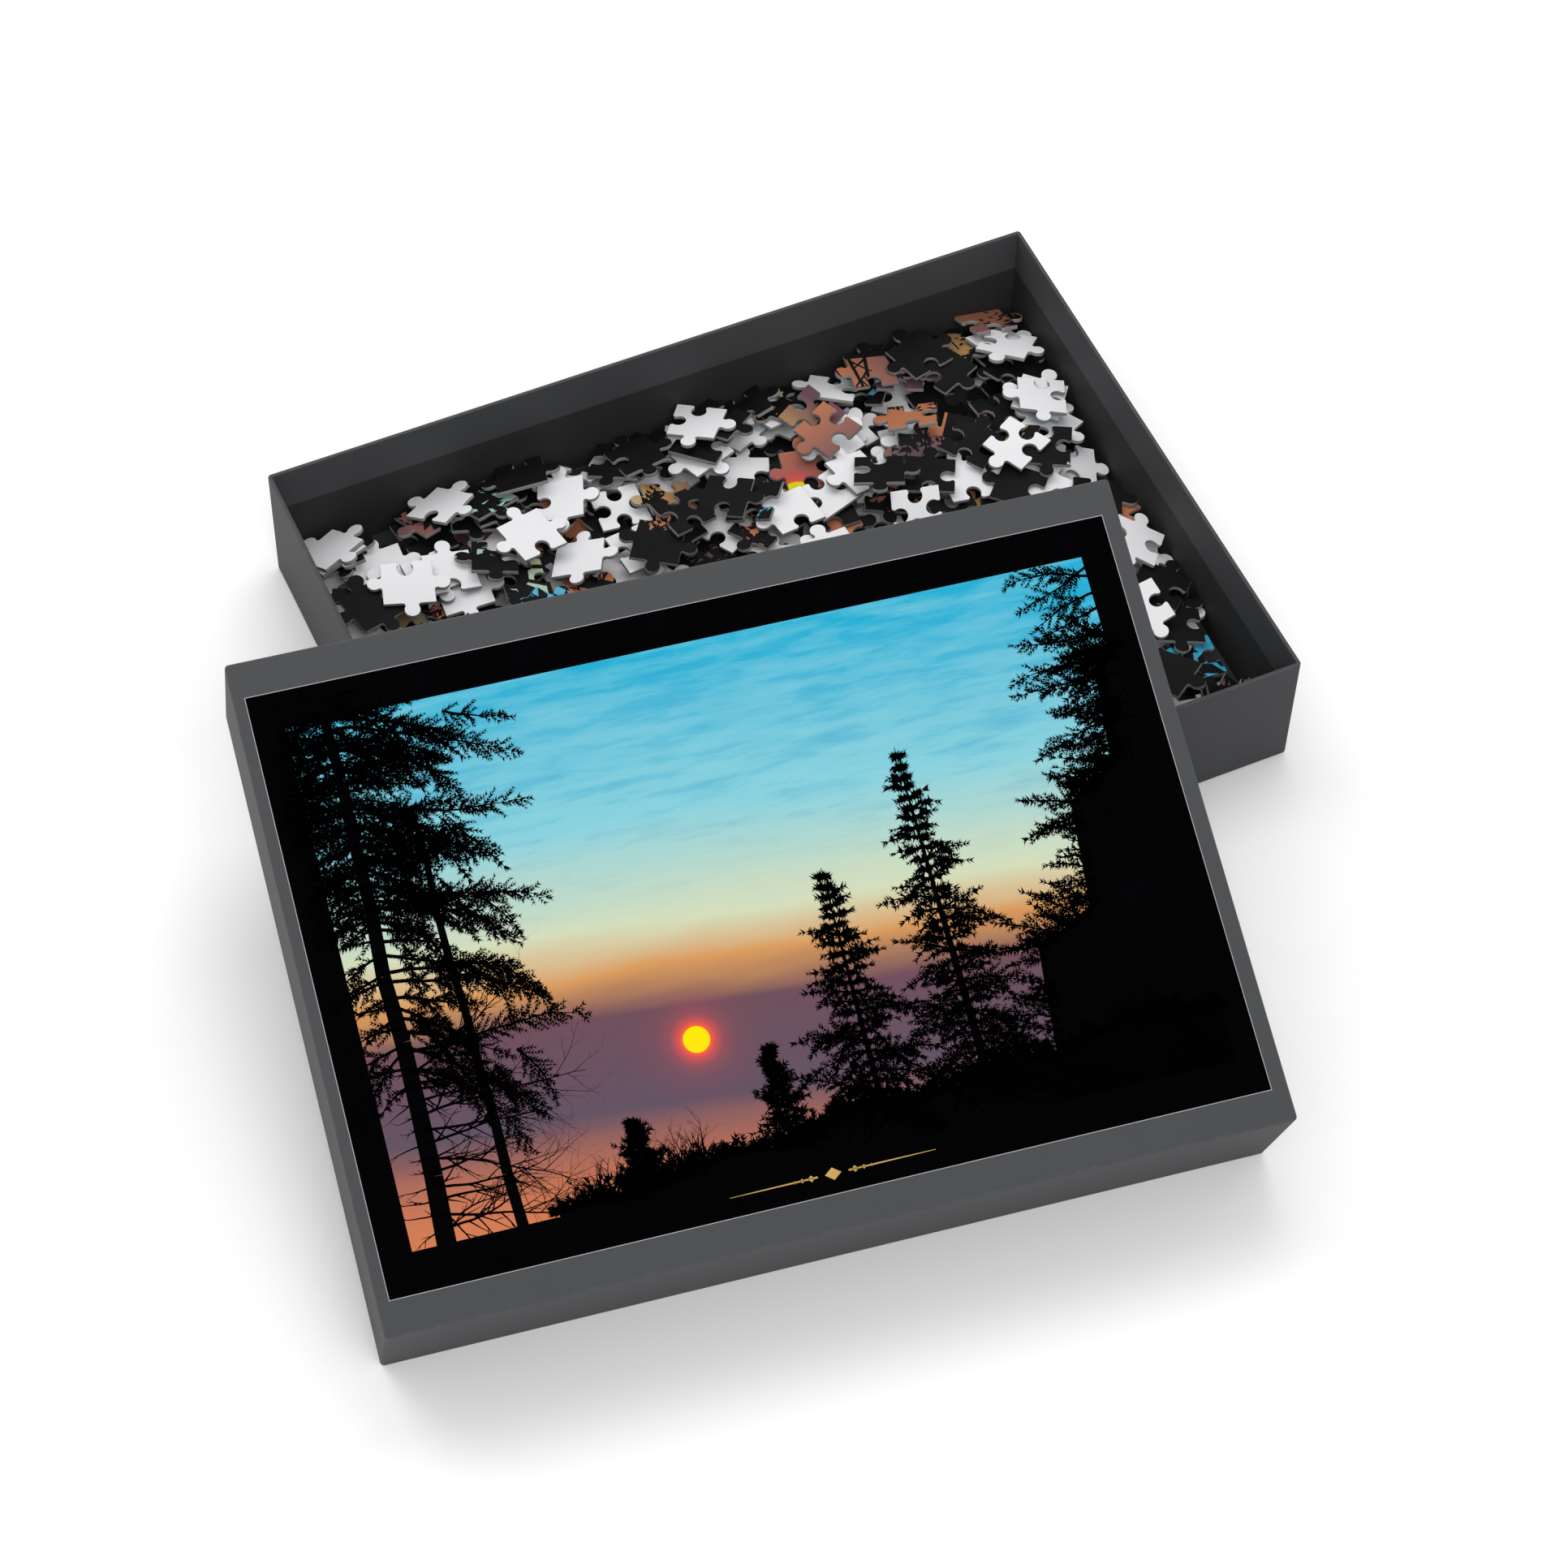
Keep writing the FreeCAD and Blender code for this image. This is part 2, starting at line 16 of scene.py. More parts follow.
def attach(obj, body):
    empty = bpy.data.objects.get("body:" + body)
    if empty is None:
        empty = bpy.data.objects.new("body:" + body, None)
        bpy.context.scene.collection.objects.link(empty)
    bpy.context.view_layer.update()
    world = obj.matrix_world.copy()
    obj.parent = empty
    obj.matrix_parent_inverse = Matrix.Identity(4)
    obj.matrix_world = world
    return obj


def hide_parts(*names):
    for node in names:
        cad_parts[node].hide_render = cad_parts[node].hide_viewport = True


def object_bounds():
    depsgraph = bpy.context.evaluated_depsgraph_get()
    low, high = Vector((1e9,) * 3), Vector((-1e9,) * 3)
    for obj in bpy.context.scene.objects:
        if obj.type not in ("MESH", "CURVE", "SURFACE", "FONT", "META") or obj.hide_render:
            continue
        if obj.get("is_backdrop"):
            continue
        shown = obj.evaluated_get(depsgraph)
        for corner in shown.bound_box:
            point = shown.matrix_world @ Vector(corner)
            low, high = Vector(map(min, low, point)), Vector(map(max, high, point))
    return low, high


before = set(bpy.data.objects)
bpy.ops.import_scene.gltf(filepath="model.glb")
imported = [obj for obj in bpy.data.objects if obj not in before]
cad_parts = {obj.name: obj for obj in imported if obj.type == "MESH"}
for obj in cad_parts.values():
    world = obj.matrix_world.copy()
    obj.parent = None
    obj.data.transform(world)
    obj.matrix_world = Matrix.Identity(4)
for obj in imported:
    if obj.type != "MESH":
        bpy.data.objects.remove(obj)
cad_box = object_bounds()

MM = 0.001

# ---------------------------------------- the box, in millimetres
TRAY_LENGTH = 350.0
TRAY_WIDTH = 261.0
BOX_HEIGHT = 61.0
BOARD = 1.5
PAPER = 0.12
WALL = BOARD + 2 * PAPER
FIT_GAP = 0.31  # air between tray and lid on each side
LID_LENGTH = TRAY_LENGTH + 2 * (FIT_GAP + WALL)
LID_WIDTH = TRAY_WIDTH + 2 * (FIT_GAP + WALL)
CORNER_RADIUS = 1.6
TURN_IN = 22.0
WRAP_MARGIN = 12.0
FOLD = 0.75  # outside radius of the paper where it goes over the board's edges
BASE_FOLD = 1.4
CORNER_STEPS = 6
FOLD_STEPS = 4
# the turned-in band inside each half takes a lighter copy of the wrap paper, as painted light
TURNED_IN = (3, 4)  # the wrap's turned-in band runs between these corners of its path

# ---------------------------------------- where the lid leans
LID_YAW = -8.35
LID_TILT = 19.8
LID_EDGE_MIDDLE = (-100.25, -273.504, 0.0)

# ---------------------------------------- the label and its picture
LABEL_LENGTH = 343.0
LABEL_WIDTH = 237.5
LABEL_PAPER = 0.15
LABEL_SHIFT = (-1.0, -0.6)
LABEL_EDGE = 0.3  # unprinted border of the label
PICTURE_LEFT = -160.0
PICTURE_RIGHT = 157.5
PICTURE_LOW = -103.5
PICTURE_HIGH = 103.0
KEPT_LEFT = -168.5  # the printed shapes are squeezed in between these four lines on the mat
KEPT_RIGHT = 165.5
KEPT_LOW = -115.75
KEPT_HIGH = 112.75
SKY_LEAN = 0.065  # the sky's layers sink this much for each millimetre to the right
GLOW_REACH = 26.0
ORNAMENT_AT = (-1.0, -111.5)
SUN = (-38.0, -50.0)
SUN_RADIUS = 5.1
PICTURE_SEED = 23
INK_LIFT = 0.012  # the uppermost ink stands this far off the sheet
COARSE_WIDTH = 0.5  # a thinner stroke is left out of the coarse shapes

# ---------------------------------------- the puzzle
COLUMNS = 25
ROWS = 20
PUZZLE_LENGTH = 540.0
PUZZLE_WIDTH = 413.0
PIECE_THICKNESS = 1.9
PRINT_SCALE = PUZZLE_LENGTH / LABEL_LENGTH  # the puzzle shows the label's picture enlarged
BACK_UP_CHANCE = {"sky": 0.96, "warm": 0.12, "dark": 0.22}
BORDER_SIDE = 15.0  # only a piece from the puzzle's border has a straight side this long
DARK_SHARE = 0.7  # a piece with more ink than this counts as dark
WARM_BELOW = -24.0  # a piece of sky from below this level counts as warm
FELT_POINTS = 6  # along each side of a piece's square, where the share of ink is felt
OUTLINE_TOLERANCE = 0.02
ROLL = 0.3  # how far the print's rim is rolled over
FACES_SEED = 11

# A piece's rims from its back to its print, as inset and height.
RIMS = (
    (0.1, 0.0),
    (0.0, 0.12),
    (0.0, PIECE_THICKNESS - 0.5),
    (0.05, PIECE_THICKNESS - 0.22),
    (0.14, PIECE_THICKNESS - 0.07),
    (ROLL, PIECE_THICKNESS),
)
BACK_SLOT, SIDE_SLOT, INK_SLOT, SKY_SLOT = range(4)  # a piece's materials

# ---------------------------------------- the camera, in metres
CAMERA_PLACE = (-0.49585, -1.03739, 1.49452)
CAMERA_FORWARD = (0.25571, 0.52868, -0.80939)
CAMERA_RIGHT = (0.91072, -0.41262, 0.01821)
CAMERA_LENS = 102.32
CAMERA_SENSOR = 36.0


# ======================================== materials
def new_material(name):
    material = bpy.data.materials.new(name)
    material.use_nodes = True
    shader = material.node_tree.nodes["Principled BSDF"]
    return material, material.node_tree.nodes, material.node_tree.links, shader


def linear(red, green, blue):
    """A colour given in 0-255 display values, as the shader wants it."""
    values = []
    for value in (red, green, blue):
        share = value / 255
        values.append(share / 12.92 if share <= 0.04045 else ((share + 0.055) / 1.055) ** 2.4)
    return (*values, 1.0)


def math_node(nodes, links, operation, first, second):
    node = nodes.new("ShaderNodeMath")
    node.operation = operation
    for socket, value in zip(node.inputs, (first, second)):
        if hasattr(value, "links"):
            links.new(value, socket)
        else:
            socket.default_value = value
    return node.outputs[0]


def noise_node(nodes, links, coordinates, scale, detail, roughness=0.5):
    node = nodes.new("ShaderNodeTexNoise")
    node.inputs["Scale"].default_value = scale
    node.inputs["Detail"].default_value = detail
    node.inputs["Roughness"].default_value = roughness
    links.new(coordinates, node.inputs["Vector"])
    return node.outputs["Fac"]


def ramp_node(nodes, links, factor, stops):
    node = nodes.new("ShaderNodeValToRGB")
    elements = node.color_ramp.elements
    while len(elements) < len(stops):
        elements.new(1.0)
    for element, (position, color) in zip(elements, stops):
        element.position = position
        element.color = color
    links.new(factor, node.inputs["Fac"])
    return node.outputs["Color"]


def mix_node(nodes, links, factor, first, second, blend="MIX"):
    node = nodes.new("ShaderNodeMix")
    node.data_type = "RGBA"
    node.blend_type = blend
    pairs = ((node.inputs[0], factor), (node.inputs[6], first), (node.inputs[7], second))
    for socket, value in pairs:
        if hasattr(value, "links"):
            links.new(value, socket)
        else:
            socket.default_value = value
    return node.outputs[2]


def range_node(nodes, links, value, start, end):
    """Goes from 0 to 1 as the value goes from the start to the end."""
    node = nodes.new("ShaderNodeMapRange")
    node.inputs["From Min"].default_value = start
    node.inputs["From Max"].default_value = end
    links.new(value, node.inputs["Value"])
    return node.outputs["Result"]


def grey(value):
    return (value, value, value, 1.0)


def bump_node(nodes, links, shader, height, strength, distance):
    node = nodes.new("ShaderNodeBump")
    node.inputs["Strength"].default_value = strength
    node.inputs["Distance"].default_value = distance
    links.new(height, node.inputs["Height"])
    links.new(node.outputs["Normal"], shader.inputs["Normal"])


def paper_material(name, color, roughness, mottle, grain, wear_and_highlight_tone=None):
    """Uncoated paper: cloudy tone, fine fibres, and a paler tone in patches on its folds, for rubbed
    edges and as a painted highlight along the rims.
    """
    material, nodes, links, shader = new_material(name)
    place = nodes.new("ShaderNodeTexCoord").outputs["Object"]
    clouds = noise_node(nodes, links, place, 38.0, 4.0, 0.6)
    fibres = noise_node(nodes, links, place, 1500.0, 3.0, 0.65)
    low = [part * (1 - mottle) for part in color[:3]] + [1.0]
    high = [part * (1 + mottle) for part in color[:3]] + [1.0]
    tone = ramp_node(nodes, links, clouds, [(0.3, low), (0.7, high)])
    fleck = ramp_node(nodes, links, fibres, [(0.25, grey(1 - grain)), (0.75, grey(1 + grain))])
    tone = mix_node(nodes, links, 1.0, tone, fleck, "MULTIPLY")
    # paler in noise patches where the fold attribute is high: rubbed paper, and a painted highlight
    if wear_and_highlight_tone:
        wear = nodes.new("ShaderNodeAttribute")
        wear.attribute_name = "wear"
        patches = noise_node(nodes, links, place, 210.0, 5.0, 0.7)
        patchy_share = ramp_node(nodes, links, patches, [(0.42, grey(0.12)), (0.72, grey(0.6))])
        share = math_node(nodes, links, "MULTIPLY", wear.outputs["Fac"], patchy_share)
        tone = mix_node(nodes, links, share, tone, wear_and_highlight_tone)
    links.new(tone, shader.inputs["Base Color"])
    gloss = nodes.new("ShaderNodeMapRange")
    gloss.inputs["To Min"].default_value = roughness - 0.06
    gloss.inputs["To Max"].default_value = roughness + 0.06
    links.new(fibres, gloss.inputs["Value"])
    links.new(gloss.outputs["Result"], shader.inputs["Roughness"])
    bump_node(nodes, links, shader, fibres, 0.25, 0.00008)
    shader.inputs["Specular IOR Level"].default_value = 0.3
    return material


def printed_surface(nodes, links, shader, surface, roughness, specular):
    """The gloss of print, with the sheet's faint tooth showing through."""
    stipple = noise_node(nodes, links, surface, 2600.0, 2.0)
    bump_node(nodes, links, shader, stipple, 0.12, 0.00004)
    shader.inputs["Roughness"].default_value = roughness
    shader.inputs["Specular IOR Level"].default_value = specular


def sky_stops():
    """Share of the picture's height, and the sky's colour there: a plain dawn in seven steps."""
    return [
        (0.0, linear(200, 116, 78)),
        (0.16, linear(96, 80, 96)),
        (0.33, linear(108, 76, 88)),
        (0.41, linear(210, 150, 90)),
        (0.5, linear(206, 214, 180)),
        (0.7, linear(130, 200, 212)),
        (1.0, linear(40, 170, 204)),
    ]


def sky_material(name, dim, roughness, specular, warm_x, warm_y):
    """The printed dawn sky, from the place that each point has on the label's picture.

    It turns orange between the two places along, and between the two heights.
    """
    material, nodes, links, shader = new_material(name)
    place = nodes.new("ShaderNodeAttribute")
    place.attribute_name = "print"
    parts = nodes.new("ShaderNodeSeparateXYZ")
    links.new(place.outputs["Vector"], parts.inputs[0])
    x = parts.outputs["X"]
    y = parts.outputs["Y"]
    stretched = nodes.new("ShaderNodeMapping")
    stretched.inputs["Rotation"].default_value = (0, 0, 0.16)
    stretched.inputs["Scale"].default_value = (0.006, 0.038, 1.0)
    links.new(place.outputs["Vector"], stretched.inputs["Vector"])
    drift = noise_node(nodes, links, stretched.outputs["Vector"], 1.6, 3.0, 0.5)
    lean = math_node(nodes, links, "MULTIPLY", x, SKY_LEAN)
    wave = math_node(nodes, links, "MULTIPLY", math_node(nodes, links, "SUBTRACT", drift, 0.5), 12.0)
    level = math_node(nodes, links, "ADD", y, lean)
    level = math_node(nodes, links, "ADD", level, wave)
    level = math_node(nodes, links, "ADD", level, 4.0 - PICTURE_LOW)
    level = math_node(nodes, links, "DIVIDE", level, PICTURE_HIGH - PICTURE_LOW)
    color = ramp_node(nodes, links, level, sky_stops())
    wisps = noise_node(nodes, links, stretched.outputs["Vector"], 4.2, 6.0, 0.62)
    high_up = ramp_node(nodes, links, level, [(0.45, grey(0.0)), (0.75, grey(1.0))])
    veil = ramp_node(nodes, links, wisps, [(0.42, grey(0.0)), (0.8, grey(0.5))])
    veil = mix_node(nodes, links, 1.0, veil, high_up, "MULTIPLY")
    color = mix_node(nodes, links, veil, color, linear(150, 208, 218))
    deep = ramp_node(nodes, links, wisps, [(0.24, grey(0.5)), (0.5, grey(0.0))])
    deep = mix_node(nodes, links, 1.0, deep, high_up, "MULTIPLY")
    color = mix_node(nodes, links, deep, color, linear(14, 150, 196))
    left = range_node(nodes, links, x, *warm_x)
    low = range_node(nodes, links, y, *warm_y)
    warm = math_node(nodes, links, "MULTIPLY", left, low)
    color = mix_node(nodes, links, warm, color, linear(206, 122, 84))
    sun_x = math_node(nodes, links, "SUBTRACT", x, SUN[0])
    sun_y = math_node(nodes, links, "SUBTRACT", y, SUN[1])
    square_x = math_node(nodes, links, "MULTIPLY", sun_x, sun_x)
    square_y = math_node(nodes, links, "MULTIPLY", sun_y, sun_y)
    away = math_node(nodes, links, "SQRT", math_node(nodes, links, "ADD", square_x, square_y), 0.0)
    away = math_node(nodes, links, "DIVIDE", away, GLOW_REACH)
    rim = SUN_RADIUS / GLOW_REACH
    fading = [
        (0.0, grey(1.0)),
        (rim + 0.01, grey(1.0)),
        (0.27, grey(0.72)),
        (0.4, grey(0.28)),
        (1.0, grey(0.0)),
    ]
    reddening = [
        (0.19, linear(255, 96, 50)),
        (0.27, linear(226, 84, 78)),
        (0.6, linear(150, 74, 86)),
    ]
    glow = ramp_node(nodes, links, away, fading)
    halo = ramp_node(nodes, links, away, reddening)
    color = mix_node(nodes, links, glow, color, halo)
    disc = ramp_node(nodes, links, away, [(rim - 0.004, grey(1.0)), (rim + 0.006, grey(0.0))])
    color = mix_node(nodes, links, disc, color, linear(246, 224, 6))
    color = mix_node(nodes, links, 1.0, color, (*dim, 1.0), "MULTIPLY")
    links.new(color, shader.inputs["Base Color"])
    surface = nodes.new("ShaderNodeTexCoord").outputs["Object"]
    printed_surface(nodes, links, shader, surface, roughness, specular)
    return material


def ink_material(name, color, roughness, specular):
    """Solid ink on paper."""
    material, nodes, links, shader = new_material(name)
    surface = nodes.new("ShaderNodeTexCoord").outputs["Object"]
    cloud = noise_node(nodes, links, surface, 60.0, 3.0)
    low = [part * 0.8 for part in color[:3]] + [1.0]
    high = [part * 1.2 for part in color[:3]] + [1.0]
    links.new(ramp_node(nodes, links, cloud, [(0.3, low), (0.7, high)]), shader.inputs["Base Color"])
    printed_surface(nodes, links, shader, surface, roughness, specular)
    return material


def card_edge_material():
    """The cut side of the card: pale fibres in thin layers, a little dusty."""
    material, nodes, links, shader = new_material("card_edge")
    place = nodes.new("ShaderNodeTexCoord").outputs["Object"]
    layers = nodes.new("ShaderNodeMapping")
    layers.inputs["Scale"].default_value = (1.0, 1.0, 7.0)
    links.new(place, layers.inputs["Vector"])
    fibres = noise_node(nodes, links, layers.outputs["Vector"], 900.0, 4.0, 0.7)
    stops = [(0.25, linear(112, 111, 110)), (0.75, linear(152, 150, 148))]
    links.new(ramp_node(nodes, links, fibres, stops), shader.inputs["Base Color"])
    bump_node(nodes, links, shader, fibres, 0.4, 0.0001)
    shader.inputs["Roughness"].default_value = 0.85
    shader.inputs["Specular IOR Level"].default_value = 0.2
    return material


# the wrap's last colour is the paler tone of its folds: rubbed paper, and a painted highlight along
# the rims
WRAP = paper_material("wrap_paper", linear(54, 55, 57), 0.66, 0.02, 0.03, linear(88, 89, 92))
# painted light: a lighter copy of the wrap paper for the turned-in band inside each half, where less
# light reaches
WRAP_PAINTED_LIGHT = paper_material("wrap_paper_inside", linear(66, 67, 69), 0.66, 0.02, 0.03)
LINER = paper_material("liner_paper", linear(42, 42, 44), 0.72, 0.08, 0.07)
GREYBOARD = paper_material("greyboard", linear(172, 166, 158), 0.9, 0.1, 0.16)
STAY = paper_material("stay_paper", linear(190, 160, 122), 0.8, 0.06, 0.1)
LABEL_SHEET = paper_material("label_paper", linear(140, 141, 143), 0.6, 0.02, 0.02)
CARD_BACK = paper_material("card_back", linear(210, 210, 212), 0.75, 0.015, 0.02)
CARD_EDGE = card_edge_material()
LABEL_SKY = sky_material("label_sky", (0.73, 0.73, 0.73), 0.6, 0.03, (-40.0, -130.0), (-72.0, -112.0))
LABEL_INK = ink_material("label_ink", linear(3, 3, 4), 0.6, 0.0)
LABEL_GOLD = ink_material("label_gold", linear(168, 134, 62), 0.45, 0.4)
CARD_SKY = sky_material("card_sky", (0.58, 0.68, 0.72), 0.65, 0.12, (140.0, 40.0), (-46.0, -68.0))
CARD_INK = ink_material("card_ink", linear(17, 17, 18), 0.65, 0.08)


# ======================================== meshes
class Builder:
    """Gathers vertices and faces in millimetres, and makes one object of them."""

    def __init__(self, name, materials):
        self.name = name
        self.materials = materials
        self.points = []
        self.faces = []
        self.slots = []
        self.wear = []
        self.prints = []

    def add(self, points, wear=0.0, prints=None):
        """Adds points and gives the number of the first."""
        first = len(self.points)
        self.points += [Vector(point) for point in points]
        self.wear += [wear] * len(points)
        self.prints += prints or [(0.0, 0.0)] * len(points)
        return first

    def face(self, corners, slot=0):
        self.faces.append(tuple(corners))
        self.slots.append(slot)

    def finish(self, placement=Matrix.Identity(4), sharp=35.0):
        mesh = bpy.data.meshes.new(self.name)
        scaled = [(placement @ point) * MM for point in self.points]
        mesh.from_pydata(scaled, [], self.faces)
        for material in self.materials:
            mesh.materials.append(material)
        mesh.polygons.foreach_set("material_index", self.slots)
        mesh.shade_smooth()
        mesh.set_sharp_from_angle(angle=math.radians(sharp))
        wear = mesh.attributes.new("wear", "FLOAT", "POINT")
        wear.data.foreach_set("value", self.wear)
        prints = mesh.attributes.new("print", "FLOAT_VECTOR", "POINT")
        flat = []
        for x, y in self.prints:
            flat += [x, y, 0.0]
        prints.data.foreach_set("vector", flat)
        mesh.update()
        made = bpy.data.objects.new(self.name, mesh)
        bpy.context.scene.collection.objects.link(made)
        return made


def stands_for(made, body, slot, *nodes):
    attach(made, body)
    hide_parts(*nodes)


# ======================================== the box
def rounded(path):
    """A path of (inset, height, radius) corners as (inset, height, on a fold, corner) points."""
    points = []
    for number, (inset, height, radius) in enumerate(path):
        if radius == 0:
            points.append((inset, height, 0.0, number))
            continue
        corner = Vector((inset, height))
        before = (Vector(path[number - 1][:2]) - corner).normalized()
        after = (Vector(path[(number + 1) % len(path)][:2]) - corner).normalized()
        half = before.angle(after) / 2
        centre = corner + (before + after).normalized() * radius / math.sin(half)
        start = corner + before * radius / math.tan(half) - centre
        end = corner + after * radius / math.tan(half) - centre
        first = math.atan2(start.y, start.x)
        sweep = (math.atan2(end.y, end.x) - first + math.pi) % (2 * math.pi) - math.pi
        for step in range(FOLD_STEPS + 1):
            angle = first + sweep * step / FOLD_STEPS
            x = centre.x + radius * math.cos(angle)
            y = centre.y + radius * math.sin(angle)
            # the middle of each fold takes the paler tone most: rubbed paper and painted highlight
            points.append((x, y, 1 - abs(2 * step / FOLD_STEPS - 1), number))
    return points


def ring_points(length, width, inset, height):
    """Points round a rectangle with rounded corners, at an inset from the outline."""
    radius = max(CORNER_RADIUS - inset, 0.05)
    points = []
    for quarter, (sign_x, sign_y) in enumerate(((1, -1), (1, 1), (-1, 1), (-1, -1))):
        centre_x = sign_x * (length / 2 - inset - radius)
        centre_y = sign_y * (width / 2 - inset - radius)
        for step in range(CORNER_STEPS + 1):
            angle = (quarter - 1 + step / CORNER_STEPS) * math.pi / 2
            x = centre_x + radius * math.cos(angle)
            y = centre_y + radius * math.sin(angle)
            points.append((x, y, height))
    return points


def swept(name, length, width, path, closed, materials, placement):
    """A shell whose wall follows the path round the box; an open path is capped at both ends.

    The second material, if there is one, is a lighter copy of the paper for the band that it is
    turned in by: painted light on the inside of the box.
    """
    builder = Builder(name, materials)
    rings = []
    corners = []
    for inset, height, on_fold, corner in rounded(path):
        points = ring_points(length, width, inset, height)
        rings.append(builder.add(points, on_fold))
        corners.append(corner)
    count = 4 * (CORNER_STEPS + 1)
    pairs = list(zip(rings, rings[1:], corners, corners[1:]))
    if closed:
        pairs.append((rings[-1], rings[0], corners[-1], corners[0]))
    for low, high, low_corner, high_corner in pairs:
        # the turned-in band takes the lighter copy of the paper: painted light
        slot = int((low_corner, high_corner) == TURNED_IN and len(materials) > 1)
        for i in range(count):
            j = (i + 1) % count
            builder.face((low + i, high + i, high + j, low + j), slot)
    if not closed:
        builder.face(range(rings[0], rings[0] + count))
        builder.face(reversed(range(rings[-1], rings[-1] + count)))
    made = builder.finish(placement)
    weighted = made.modifiers.new("flat_panels", "WEIGHTED_NORMAL")
    weighted.keep_sharp = True
    weighted.weight = 100
    return made


def board_nodes(half):
    """The flaps and the panel of one half's board, which is a single folded blank here."""
    return [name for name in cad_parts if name.startswith(half + "_board_")]


def make_tray():
    size = (TRAY_LENGTH, TRAY_WIDTH)
    skin = PAPER + BOARD
    low = PAPER
    top = BOX_HEIGHT
    band = BOX_HEIGHT - TURN_IN
    level = Matrix.Identity(4)
    wrap = [
        (WRAP_MARGIN, low, 0),
        (0, low, BASE_FOLD),
        (0, top, FOLD),
        (WALL, top, FOLD),
        (WALL, band, 0),
        (skin, band, 0),
        (skin, top - PAPER, FOLD - PAPER),
        (PAPER, top - PAPER, FOLD - PAPER),
        (PAPER, low + PAPER, BASE_FOLD - PAPER),
        (WRAP_MARGIN, low + PAPER, 0),
    ]
    board = [
        (skin + 1, low + PAPER + BOARD, 0),
        (skin, low + PAPER + BOARD, 0),
        (skin, top - PAPER, FOLD - PAPER),
        (PAPER, top - PAPER, FOLD - PAPER),
        (PAPER, low + PAPER, BASE_FOLD - PAPER),
        (skin + 1, low + PAPER, 0),
    ]
    made = swept("tray_wrapping", *size, wrap, True, [WRAP, WRAP_PAINTED_LIGHT], level)
    stands_for(made, "tray", "wrap_paper", "tray_wrap")
    made = swept("tray_greyboard", *size, board, False, [GREYBOARD], level)
    stands_for(made, "tray", "greyboard", *board_nodes("tray"))


def lid_lean():
    """Carries the upright lid, centred over the origin, to where it leans."""
    turn = Matrix.Rotation(math.radians(LID_YAW), 4, "Z")
    tilt = Matrix.Rotation(math.radians(LID_TILT), 4, "X")
    centre = Matrix.Translation((0, LID_WIDTH / 2, 0))
    return Matrix.Translation(LID_EDGE_MIDDLE) @ turn @ tilt @ centre


def make_lid(lean):
    size = (LID_LENGTH, LID_WIDTH)
    skin = PAPER + BOARD
    top = BOX_HEIGHT
    wrap = [
        (WALL + 2, top, 0),
        (0, top, FOLD + PAPER),
        (0, 0, FOLD),
        (WALL, 0, FOLD),
        (WALL, TURN_IN, 0),
        (skin, TURN_IN, 0),
        (skin, PAPER, FOLD - PAPER),
        (PAPER, PAPER, FOLD - PAPER),
        (PAPER, top - PAPER, FOLD),
        (WALL + 2, top - PAPER, 0),
    ]
    board = [
        (WALL + 2, top - PAPER - BOARD, 0),
        (skin, top - PAPER - BOARD, 0),
        (skin, PAPER, FOLD - PAPER),
        (PAPER, PAPER, FOLD - PAPER),
        (PAPER, top - PAPER, FOLD),
        (WALL + 2, top - PAPER, 0),
    ]
    made = swept("lid_wrapping", *size, wrap, False, [WRAP, WRAP_PAINTED_LIGHT], lean)
    stands_for(made, "lid", "wrap_paper", "lid_wrap")
    made = swept("lid_greyboard", *size, board, False, [GREYBOARD], lean)
    stands_for(made, "lid", "greyboard", *board_nodes("lid"))


# ======================================== the printed picture
def signed_area(shape):
    """The area inside the shape, negative if its points go clockwise."""
    total = 0.0
    for (ax, ay), (bx, by) in zip(shape, shape[1:] + shape[:1]):
        total += ax * by - bx * ay
    return total / 2


def heading_vector(angle):
    return Vector((math.cos(angle), math.sin(angle)))


